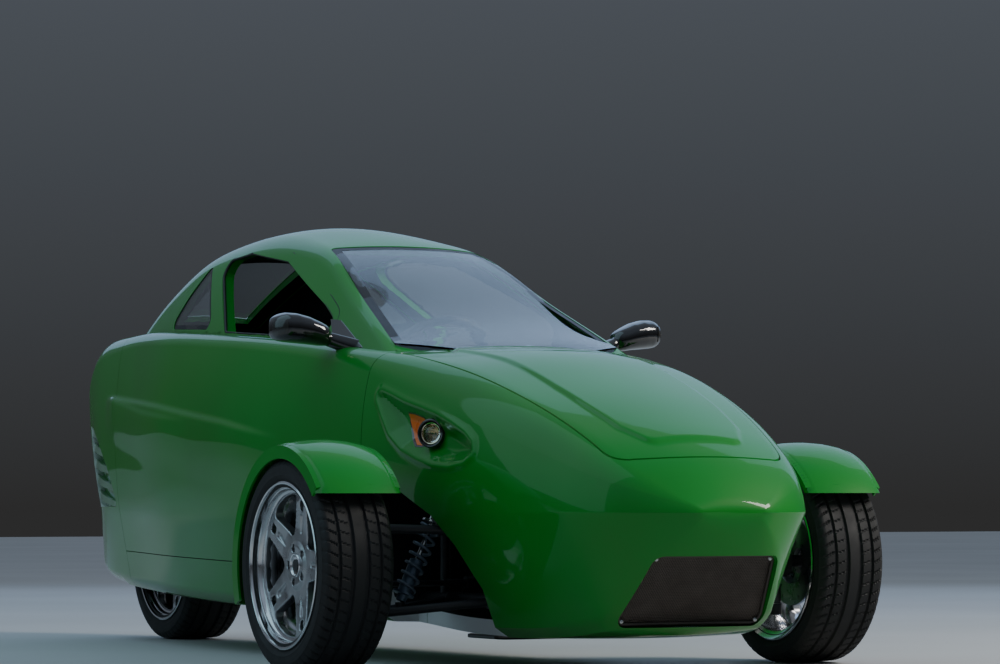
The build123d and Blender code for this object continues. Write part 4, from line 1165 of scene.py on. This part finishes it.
def mirror_case():
    loops = []
    for x in np.concatenate([np.linspace(452, 600, 22), np.linspace(602, 614, 9)]):
        d, z, w, h = mirror_section(x)
        loop = ellipse_loop((x, at_d(d), z), Y, Z, w, h, 48, 2.5)
        loop[:, 1] = np.minimum(loop[:, 1], at_d(d) + MIRROR_FACE * w)
        loops.append(loop)
    bends = [(352, at_d(512), 868), (392, at_d(532), 884), (440, at_d(556), 900), (486, at_d(568), 916)]
    arm = tube("arm", along_curve(bends, 20), np.linspace(22, 15, 20), 20, flat=1.25)
    foot = pillow("foot", [((346, at_d(508), 868), 30, 20), ((366, at_d(514), 872), 27, 18),
                           ((380, at_d(520), 877), 18, 14)], Y, Z)
    return softened(joined(loft("case", loops), arm, foot), 3.0, 4, 0.6)


def mirror_sail():
    """Plate on the skin that carries a mirror."""
    loops = []
    for u in np.linspace(0, 1, 12):
        line = np.linspace(*[(1 - u) * np.array(a) + u * np.array(b) for a, b in MIRROR_SAIL], 9)
        outer = [(skin_x(d, z) + 2.5, at_d(d), z) for d, z in line]
        loops.append(outer + [(skin_x(d, z) - 8, at_d(d), z) for d, z in line[::-1]])
    return loft("sail", loops)


def mirror_glass():
    loops = []
    for x in np.linspace(470, 600, 18):
        d, z, w, h = mirror_section(x)
        back, front = at_d(d) + MIRROR_FACE * w - 3, at_d(d) + MIRROR_FACE * w + 1.2
        tall = (h - 6) * min(1.0, (x - 466) / 20, (604 - x) / 20) ** 0.4
        loops.append([(x, back, z - tall), (x, front, z - tall), (x, front, z + tall), (x, back, z + tall)])
    return loft("mirror_glass", loops)


def make_mirrors():
    gloss = plastic("mirror_gloss", (0.004, 0.004, 0.005), (0.008, 0.008, 0.009), 0.10, 900, 0.00002, 1.0)
    silver = metal("mirror_glass", (0.70, 0.73, 0.76), (0.80, 0.83, 0.86), 0.02, 50, 0.000001)
    smoke = plastic("mirror_lamp", (0.020, 0.019, 0.018), (0.035, 0.033, 0.030), 0.16, 90, 0.0003, 0.6)
    case = mirror_case()
    lamp = common(copy_of(case), block(586, 640, 480, 590, 915, 960))
    moved(lamp, Matrix.Translation((1.2, -1.2, 0)))
    case = gathered("mirror_case", [case, mirror_sail()])
    bodies = ("door", "root")
    finished_pair("mirror_case", case, bodies, gloss, 50.0, "mirror_shell", "mirror")
    finished_pair("mirror_glass", mirror_glass(), bodies, silver, 50.0)
    finished_pair("mirror_lamp", lamp, bodies, smoke, 50.0)


# Grille

GRILLE_TOP = (179.0, 311.0)
GRILLE_BOTTOM = (219.0, 128.0)
GRILLE_TOP_D = -816.0
GRILLE_BOTTOM_D = -667.0
WIRE_PITCH = 5.0
WIRE_R = 0.9


def grille_point(x, down, behind=0.0):
    """Place on the leaning plane of the opening; down runs from 0 at its top to 1."""
    d = GRILLE_TOP_D + (GRILLE_BOTTOM_D - GRILLE_TOP_D) * down + behind
    z = GRILLE_TOP[1] + (GRILLE_BOTTOM[1] - GRILLE_TOP[1]) * down + 0.6 * behind
    return (x, at_d(d), z)


def make_grille():
    wire = metal("mesh_brown", (0.13, 0.105, 0.09), (0.20, 0.165, 0.145), 0.5, 400, 0.0001, 0.3)
    brown = plastic("core_brown", (0.040, 0.032, 0.028), (0.065, 0.053, 0.046), 0.6, 350, 0.0004)
    bright = metal("stud_steel", (0.45, 0.45, 0.46), (0.6, 0.6, 0.61), 0.3)
    top, low = GRILLE_TOP[0] - 2, GRILLE_BOTTOM[0] - 2
    paths = []
    rows = int(234 / WIRE_PITCH)
    for down in np.arange(1, rows) / rows:
        half = top + (low - top) * down - max(0, 14 * (1 - min(down, 1 - down) / 0.06))
        paths.append([grille_point(x, down, 14) for x in (-half, -half / 3, half / 3, half)])
    for x in np.arange(-low + WIRE_PITCH, low, WIRE_PITCH):
        first = max(0.02, (abs(x) - top) / (low - top) + 0.02)
        if first < 0.94:
            paths.append([grille_point(x, down, 12.4) for down in np.linspace(first, 0.98, 4)])
    wires = [tube("wire", path, WIRE_R, 5) for path in paths]
    finished(gathered("grille_mesh", wires), "root", wire, "grille_mesh", 60.0, ("grille",))
    corners = ((-top, 0), (top, 0), (low, 1), (-low, 1))
    faces = [[grille_point(x, down, behind) for x, down in corners] for behind in (19, 28)]
    finished(loft("grille_core", faces), "root", brown)
    outline = rounded([(x, down * 183) for x, down in corners], 26, -4)
    rim = [grille_point(x, v / 183, 9) for x, v in outline]
    finished(tube("grille_rim", rim, 4.5, 10, closed=True), "root", brown, None, 60.0)
    studs = []
    for x, down in ((-196, 0.93), (196, 0.93), (-166, 0.06), (166, 0.06)):
        stud = turned("stud", [(0, 0.8), (0, 6.5), (1.6, 6.0), (3.0, 4.2), (3.6, 0.8)], 20)
        studs.append(aimed(stud, Vector(grille_point(x, down, 7)), FORWARD))
    finished(gathered("grille_studs", studs), "root", bright)


# Glazing bands and seals

BAND_INSET = 2.2
BAND_T = 2.0


def surface_band(name, outline, hole):
    """Thin band just below the cabin's surface, between two prisms."""
    band = cut(common(cabin_solid(BAND_INSET), outline), cabin_solid(BAND_INSET + BAND_T), hole)
    band.name = name
    return band


def seal_path(outline, inside):
    """Path along an outline in side view, on the right side of the car."""
    return [(-skin_x(d, z) + inside, at_d(d), z) for d, z in outline]


def make_glazing_trim():
    frit = plastic("frit", (0.006, 0.006, 0.010), (0.010, 0.010, 0.016), 0.42, 500, 0.00002)
    seal = plastic("seal_rubber", (0.008, 0.008, 0.008), (0.018, 0.018, 0.018), 0.55, 900, 0.0001)
    finished(surface_band("screen_band", plan_prism(screen_outline(-0.8), 700, 1500),
                          plan_prism(screen_outline(-27), 600, 1600)), "root", frit)
    edge = grown(rounded(QUARTER_WINDOW, QUARTER_ROUND), -0.8)
    finished(surface_band("quarter_band", both_sides(edge, 20, 700),
                          both_sides(rounded(QUARTER_WINDOW, QUARTER_ROUND, -13), 10, 720)), "root", frit)
    path = seal_path(rounded(SIDE_WINDOW, WINDOW_ROUND, -1.0), 5.0)
    right = tube("window_seal_right", path, 4.5, 10, closed=True)
    finished(mirrored(right, "window_seal_left"), "door", seal, None, 60.0)
    finished(right, "root", seal, None, 60.0)
    # The line above the right window starts where the outline is left for its lower part
    line = rounded(SIDE_WINDOW, WINDOW_ROUND, 26.0)
    line = line[(line[:, 1] > 0.36 * line[:, 0] + 690) & (line[:, 0] < 1700)]
    leap = np.abs(line - np.roll(line, 1, 0)).sum(axis=1)
    path = along_curve(seal_path(np.roll(line, -leap.argmax(), 0), 0.9), 90)
    finished(tube("window_frame_line", path, 1.5, 8), "root", seal, None, 60.0)


# Springs and dampers

def make_springs():
    blue = metal("damper_blue", (0.05, 0.075, 0.11), (0.10, 0.14, 0.19), 0.35, 500, 0.00004, 0.5)
    coil_finish = metal("coil_paint", (0.07, 0.09, 0.12), (0.12, 0.15, 0.19), 0.4, 500, 0.00004, 0.3)
    bright = metal("damper_rod", (0.55, 0.55, 0.56), (0.7, 0.7, 0.71), 0.15)
    foot, head = Vector((500, at_d(0), 184)), Vector((388, at_d(0), 430))
    length = (head - foot).length
    share = np.linspace(0, 1, 220)
    angle = share * 7 * 2 * pi
    coil = np.column_stack([30 + (length - 75) * share, 25.5 * np.cos(angle), 25.5 * np.sin(angle)])
    shock = [(4, 1), (4, 13), (20, 15), (22, 29.5), (27, 30), (28, 19), (120, 19), (124, 10), (124, 1)]
    rod = [(110, 1), (110, 6.5), (length - 44, 6.5), (length - 42, 29), (length - 37, 29), (length - 34, 12),
           (length - 4, 12), (length - 4, 1)]
    forms = {
        "coil": (tube("coil", coil, 4.2, 10), coil_finish),
        "shock": (turned("shock", shock, 40), blue, "damper", "damper"),
        "rod": (turned("rod", rod, 40), bright),
    }
    for kind, (form, material, *named) in forms.items():
        aimed(form, foot, (head - foot).normalized())
        finished_pair(kind, form, ("root", "root"), material, 40.0, *named)


# Cabin

DASH_D = 455.0
DIALS_D = DASH_D + 152
DIALS_Z = 850.0
BINNACLE_Z = 846.0
VENTS_D = DASH_D + 205
STEERING_D = DASH_D + 355
STEERING_Z = 812.0
STEERING_TILT = -62.0
STEERING_R = 175.0


def make_steering_wheel():
    leather = plastic("rim_leather", (0.010, 0.010, 0.010), (0.022, 0.022, 0.022), 0.45, 600, 0.0003)
    around = np.linspace(0, 2 * pi, 72, endpoint=False)
    circle_path = [(STEERING_R * cos(a), STEERING_R * sin(a), 0) for a in around]
    parts = [tube("wheel_rim", circle_path, 14.0, 16, closed=True)]
    for angle in (90, 210, 330):
        a = radians(angle)
        out, side = np.array([cos(a), sin(a), 0]), (-sin(a), cos(a), 0)
        rows = ((20, 26, -14, 9), (60, 20, -12, 7), (110, 14, -6, 5.5), (150, 15, -2, 5), (172, 19, 0, 6))
        stations = [(out * r + (0, 0, z), w, t) for r, w, z, t in rows]
        parts.append(pillow("spoke", stations, side, Z, 24, 3.0))
    hub = [(-34, 34, 34), (-22, 50, 46), (-4, 54, 50), (6, 50, 46), (12, 36, 33), (13, 12, 11)]
    column = [(-178, 24, 30), (-120, 30, 36), (-60, 34, 38), (-36, 26, 26)]
    for name, rows, count, power in (("hub", hub, 40, 2.8), ("column", column, 32, 2.5)):
        stations = [((0, 0, z), a, b) for z, a, b in rows]
        parts.append(pillow(name, stations, X, Y, count, power))
    place = Matrix.Translation((0, at_d(STEERING_D), STEERING_Z))
    tilt = Matrix.Rotation(radians(STEERING_TILT), 4, "X")
    wheel = moved(gathered("steering_wheel_rim", parts), place @ tilt)
    finished(wheel, "root", leather, "wheel_rim", 45.0, ("steering_wheel",))


def make_dash_fittings():
    hard = plastic("dash_plastic", (0.012, 0.012, 0.013), (0.030, 0.030, 0.032), 0.55, 500, 0.0004)
    dial_finish = plastic("dial_face", (0.02, 0.02, 0.022), (0.05, 0.05, 0.055), 0.15, 90, 0.00001, 1.0)
    bright = metal("dial_ring", (0.5, 0.5, 0.52), (0.66, 0.66, 0.68), 0.2)
    cowl = [((0, at_d(DASH_D + 60 + 150 * t), BINNACLE_Z), 120 + 20 * t, 44 + 18 * sin(pi * min(t, 0.9)))
            for t in np.linspace(0, 1, 12)]
    hollow = [((0, at_d(DASH_D + back), BINNACLE_Z), 124, 48) for back in (150, 400)]
    binnacle, hollow = (pillow(name, rows, X, Z, 44, 2.8)
                        for name, rows in (("binnacle", cowl), ("hollow", hollow)))
    finished(cut(binnacle, hollow, block(-400, 400, 200, 900, 700, 812)), "root", hard, None, 40.0)
    dials, rings = [], []
    for x, r in ((-62, 40), (62, 40), (0, 24)):
        centre = Vector((x, at_d(DIALS_D), DIALS_Z))
        face = turned("dial", [(-6, 1), (-6, r - 3), (1, r - 3), (1, 1)], 40)
        ring = turned("ring", [(-4, r - 3.2), (3.5, r - 3.2), (4.5, r - 1.5), (3.5, r), (-4, r)], 48)
        dials.append(aimed(face, centre, BACKWARD))
        rings.append(aimed(ring, centre, BACKWARD))
    finished(gathered("dials", dials), "root", dial_finish)
    finished(gathered("dial_rings", rings), "root", bright)
    vents = []
    for x in (-235, -200, 200, 235):
        for z in (775, 787, 799):
            vane = [((x + end, at_d(VENTS_D), z), 6, 1.6) for end in (-15, 15)]
            vents.append(pillow("vane", vane, Y, Z, 12))
    finished(gathered("dash_vents", vents), "root", hard)


# Seats

SEAT_W = 430.0
CUSHION_T = 130.0
FRONT_SEAT_D = 1000.0
REAR_SEAT_D = 1730.0
SEAT_FLOOR_Z = 205.3
CLOTH_CAP = 0.012


def pad_form(name, path, width, thickness, wing):
    """Crowned pad along a path of (d, z) points; wing raises its sides."""
    path = along_curve([(0, d, z) for d, z in path], 46)[:, 1:]
    along = np.gradient(path, axis=0)
    along /= np.hypot(*along.T)[:, None]
    up = np.column_stack([-along[:, 1], along[:, 0]])
    loops = []
    turn = np.linspace(0, 2 * pi, 60, endpoint=False)
    for i, (p, n) in enumerate(zip(path, up)):
        end = min(i, len(path) - 1 - i) / 6
        swell = (1 - (1 - min(end, 1.0)) ** 2) ** 0.5 * 0.55 + 0.45
        c, s = np.cos(turn), np.sin(turn)
        x = width / 2 * np.sign(c) * np.abs(c) ** 0.42 * (0.9 + 0.1 * swell)
        lift = thickness / 2 * np.sign(s) * np.abs(s) ** 0.55 * swell
        lift = lift + wing * np.clip((np.abs(x) / (width / 2) - 0.55) / 0.45, 0, 1) ** 1.5 * (s > 0)
        loops.append([(a, at_d(p[0] + b * n[0]), p[1] + b * n[1]) for a, b in zip(x, lift)])
    return loft(name, loops)


def vertex_values(obj, kind):
    """The co or the normal of each vertex of a mesh."""
    values = np.empty(len(obj.data.vertices) * 3, np.float32)
    obj.data.vertices.foreach_get(kind, values)
    return values.reshape(-1, 3)


def inflated(obj):
    """Pad swollen by a short cloth simulation, each point held within a cap of its start."""
    with_modifier(obj, "REMESH", mode="VOXEL", voxel_size=0.0065)
    with_modifier(obj, "SMOOTH", factor=0.5, iterations=4)
    start = vertex_values(obj, "co")
    settings = obj.modifiers.new("cloth", "CLOTH").settings
    settings.use_pressure = True
    settings.uniform_pressure_force = 4.0
    settings.effector_weights.gravity = 0.0
    settings.quality = 4
    settings.tension_stiffness = 12
    for step_frame in range(1, 21):
        bpy.context.scene.frame_set(step_frame)
    baked(obj)
    bpy.context.scene.frame_set(1)
    way = vertex_values(obj, "co") - start
    far = np.linalg.norm(way, axis=1, keepdims=True)
    way *= np.minimum(1.0, CLOTH_CAP / np.maximum(far, 1e-9))
    obj.data.vertices.foreach_set("co", (start + way).ravel())
    obj.data.update()


def channelled(obj, seams, depth=0.006, width=0.010):
    """Presses sewn seams into a pad; each is an axis and a place on it, on both sides for x."""
    places = vertex_values(obj, "co")
    press = np.zeros(len(places))
    for axis, place in seams:
        along = np.abs(places[:, 0]) if axis == 0 else places[:, axis]
        press = np.maximum(press, np.exp(-((along - place) / width) ** 2))
    places -= vertex_values(obj, "normal") * (press * depth)[:, None]
    obj.data.vertices.foreach_set("co", places.ravel())
    obj.data.update()


def make_seats():
    weave = woven("seat_weave", (0.016, 0.016, 0.018), (0.042, 0.042, 0.046))
    top, middle = SEAT_FLOOR_Z + CUSHION_T, SEAT_FLOOR_Z + CUSHION_T / 2
    for place, d, back_d, back_z in (("front", FRONT_SEAT_D, FRONT_SEAT_D + 590, 930),
                                     ("rear", REAR_SEAT_D, WHEELBASE - 430 - 29, 800)):
        cushion = [(d + 14, middle - 6), (d + 210, middle - 4), (d + 408, middle - 10)]
        back = [(d + 388, top + 16), ((d + 320 + back_d) / 2, (top + back_z) / 2), (back_d - 44, back_z - 16)]
        pads = {
            "cushion": (cushion, SEAT_W - 34, CUSHION_T - 26, 12,
                        [(0, 0.125), (1, at_d(d + 120) * MM), (1, at_d(d + 240) * MM)]),
            "back": (back, SEAT_W - 54, 66, 14,
                     [(0, 0.12)] + [(2, (top + share * (back_z - top)) * MM) for share in (0.35, 0.7)]),
        }
        for kind, (path, width, thickness, wing, seams) in pads.items():
            pad = pad_form(f"seat_{place}_{kind}", path, width, thickness, wing)
            inflated(pad)
            channelled(pad, seams)
            replaced = (f"seat_{place}",) if kind == "cushion" else ()
            finished(pad, "root", weave, "seat_cloth", 80.0, replaced)


# Tail and small fittings

FIN_COUNT = 5
FIN_PITCH = 52.0
FINS_D = (2570.0, 3092.0)
FINS_Z = 466.0
PLUG_D, PLUG_Z = 1330.0, 196.0
HANDLE_D, HANDLE_Z, HANDLE_L = 1440.0, 800.0, 140.0


def tail_fins():
    """Wedge shaped fins across the side recess, and the plate behind them."""
    window = rounded(LOUVRE_WINDOW, LOUVRE_ROUND, -1.0)
    plate = common(inner_body(26.0), side_prism(rounded(LOUVRE_WINDOW, LOUVRE_ROUND, -0.5), 100, 600))
    cut(plate, inner_body(34.0))
    fins = []
    for i in range(FIN_COUNT):
        loops = []
        for d in np.linspace(*FINS_D, 14):
            z = FINS_Z + FIN_PITCH * i + 0.085 * (d - 2850)
            outer = skin_x(d, z) - 5.0
            tall = 8.0 + 7.0 * (d - FINS_D[0]) / (FINS_D[1] - FINS_D[0])
            section = ((outer - 24, -5), (outer, -tall), (outer, tall), (outer - 24, 5))
            loops.append([(x, at_d(d), z + high) for x, high in section])
        fins.append(common(loft("fin", loops), side_prism(window, 100, 600)))
    return plate, gathered("fins", fins)


def sill_plug():
    """Oval cap on the sloping sill."""
    rim = []
    for t in np.linspace(0, 2 * pi, 24, endpoint=False):
        d, z = PLUG_D + 26 * cos(t), PLUG_Z + 15 * sin(t)
        s = body_at(d)
        lean = (s.crease_w - s.sill_w) / (s.crease_z - s.sill_z)
        rim.append((s.sill_w + lean * (z - s.sill_z), at_d(d), z))
    return loft("sill_plug", [[(x + proud, y, z) for x, y, z in rim] for proud in (-6, 1.2)])


def make_tail_details():
    black = plastic("fitting_black", (0.006, 0.006, 0.007), (0.014, 0.014, 0.015), 0.35, 900, 0.00004, 0.5)
    ruby = plastic("ruby_lens", (0.48, 0.006, 0.006), (0.62, 0.010, 0.010), 0.14, 60, 0.0003, 0.5)
    # The fins' pale green is their own green paint lightened with a painted reflection of the ground and sky
    fins_pale_with_painted_reflection = plastic("fin_green_and_painted_reflection", (0.20, 0.36, 0.22), (0.30, 0.46, 0.32), 0.35, 700, 0.00003, 0.6)
    x, z, r = TAIL_LAMP
    dome = [(13.2 - 4 * (1 - cos(t)), (r - 4) * sin(t)) for t in np.linspace(0.05, 1.3, 10)]
    lens = dome + [(0, r - 4), (0, 1.5)]
    ring = [(0, r - 4), (11, r - 4), (12.5, r - 2.5), (12, r - 0.5), (0, r - 0.3)]
    named = (ruby, "red_lens", 40.0, ("tail_lamps",))
    for name, profile, looks in (("tail_lenses", lens, named), ("tail_lamp_rings", ring, (black,))):
        centres = [Vector((side * x, at_d(WHEELBASE + TAIL_OVERHANG - 13), z)) for side in (-1, 1)]
        pair = [aimed(turned("lamp", profile, 56), centre, BACKWARD) for centre in centres]
        finished(gathered(name, pair), "root", *looks)
    plate, fins = tail_fins()
    finished(doubled("tail_fin_plates", plate), "root", bpy.data.materials["car_paint"])
    finished(doubled("tail_fins", fins), "root", fins_pale_with_painted_reflection, "louvre", 30.0, ("tail_louvres",))
    pan = [((0, at_d(120), 84), 150, 5), ((0, at_d(124), 82), 158, 8), ((0, at_d(288), 82), 158, 8),
           ((0, at_d(292), 84), 150, 5)]
    finished(pillow("skid_pan", pan, X, Z, 40, 6.0), "root", black, "black_plastic", 30.0,
             ("under_pan",))
    finished(doubled("sill_plugs", sill_plug()), "root", black, None, 30.0)
    handle = []
    for t in np.linspace(0, 1, 17):
        d = HANDLE_D + HANDLE_L * (t - 0.5)
        rise = 15 * sin(pi * t) ** 0.6 if 0 < t < 1 else 0.0
        handle.append((skin_x(d, HANDLE_Z) + rise - 4, at_d(d), HANDLE_Z))
    finished(tube("door_handle", handle, 6.5, 14, flat=1.5), "door", black, None, 60.0)


# Floor, light and camera

def make_stage():
    bpy.ops.mesh.primitive_plane_add(size=90)
    floor = bpy.context.object
    floor.name = "floor"
    material, shader = material_base("floor_paint", (0.50, 0.50, 0.495), 0.9)
    cloudy = drift(material, noise_in(material, 0.6, 3), (0.47, 0.47, 0.465), (0.53, 0.53, 0.525))
    feed(material, shader, Base_Color=cloudy)
    dress(floor, material)


def area_light(name, place, target, size, power, color):
    data = bpy.data.lights.new(name, "AREA")
    data.shape = "RECTANGLE"
    data.size, data.size_y = size
    data.energy = power
    data.color = color
    light = placed(name, data)
    light.location = place
    light.rotation_euler = (Vector(target) - Vector(place)).to_track_quat("-Z", "Y").to_euler()


def make_light():
    area_light("sky_panel", (4.2, 6.3, 5.6), (0, -0.2, 0.9), (11.0, 8.0), 190, (0.42, 0.64, 1.0))
    area_light("roof_panel", (-4.8, 0.6, 5.4), (0, 0, 0.8), (7.0, 11.0), 150, (0.50, 0.86, 1.0))
    area_light("key_panel", (5.5, -4.5, 5.0), (0, -0.5, 0.5), (2.6, 2.6), 440, (1.0, 0.95, 0.88))
    world = bpy.data.worlds.new("studio")
    bpy.context.scene.world = world
    world.use_nodes = True
    direction = new_node(world, "TexCoord").outputs["Generated"]
    height = new_node(world, "SeparateXYZ", Vector=direction).outputs["Z"]
    wall = ramp_over(world, height, (0.0, (0.05, 0.05, 0.05)), (0.7, (0.44, 0.53, 0.66)))
    feed(world, world.node_tree.nodes["Background"], Color=wall, Strength=0.6)


CAMERA_PLACE = (-4.914, -10.484, 0.436)
CAMERA_YAW = radians(26.73)
CAMERA_PITCH = radians(2.575)
CAMERA_ROLL = radians(-0.13)
CAMERA_LENS = 140.0


def make_camera():
    data = bpy.data.cameras.new("camera")
    data.sensor_width = 36.0
    data.lens = CAMERA_LENS
    data.clip_end = 200
    camera = placed("camera", data)
    level = Matrix.Rotation(-CAMERA_YAW, 4, "Z") @ Matrix.Rotation(pi / 2 + CAMERA_PITCH, 4, "X")
    camera.matrix_world = Matrix.Translation(CAMERA_PLACE) @ level @ Matrix.Rotation(CAMERA_ROLL, 4, "Z")
    bpy.context.scene.camera = camera


make_camera()
make_stage()
make_light()
car_paint()
plastic("lining", (0.014, 0.014, 0.015), (0.028, 0.028, 0.030), 0.75, 700, 0.0003)
make_body()
assign_cad_materials()
make_wheels()
make_fenders()
make_headlamps()
make_mirrors()
make_grille()
make_glazing_trim()
make_springs()
make_steering_wheel()
make_dash_fittings()
make_seats()
make_tail_details()
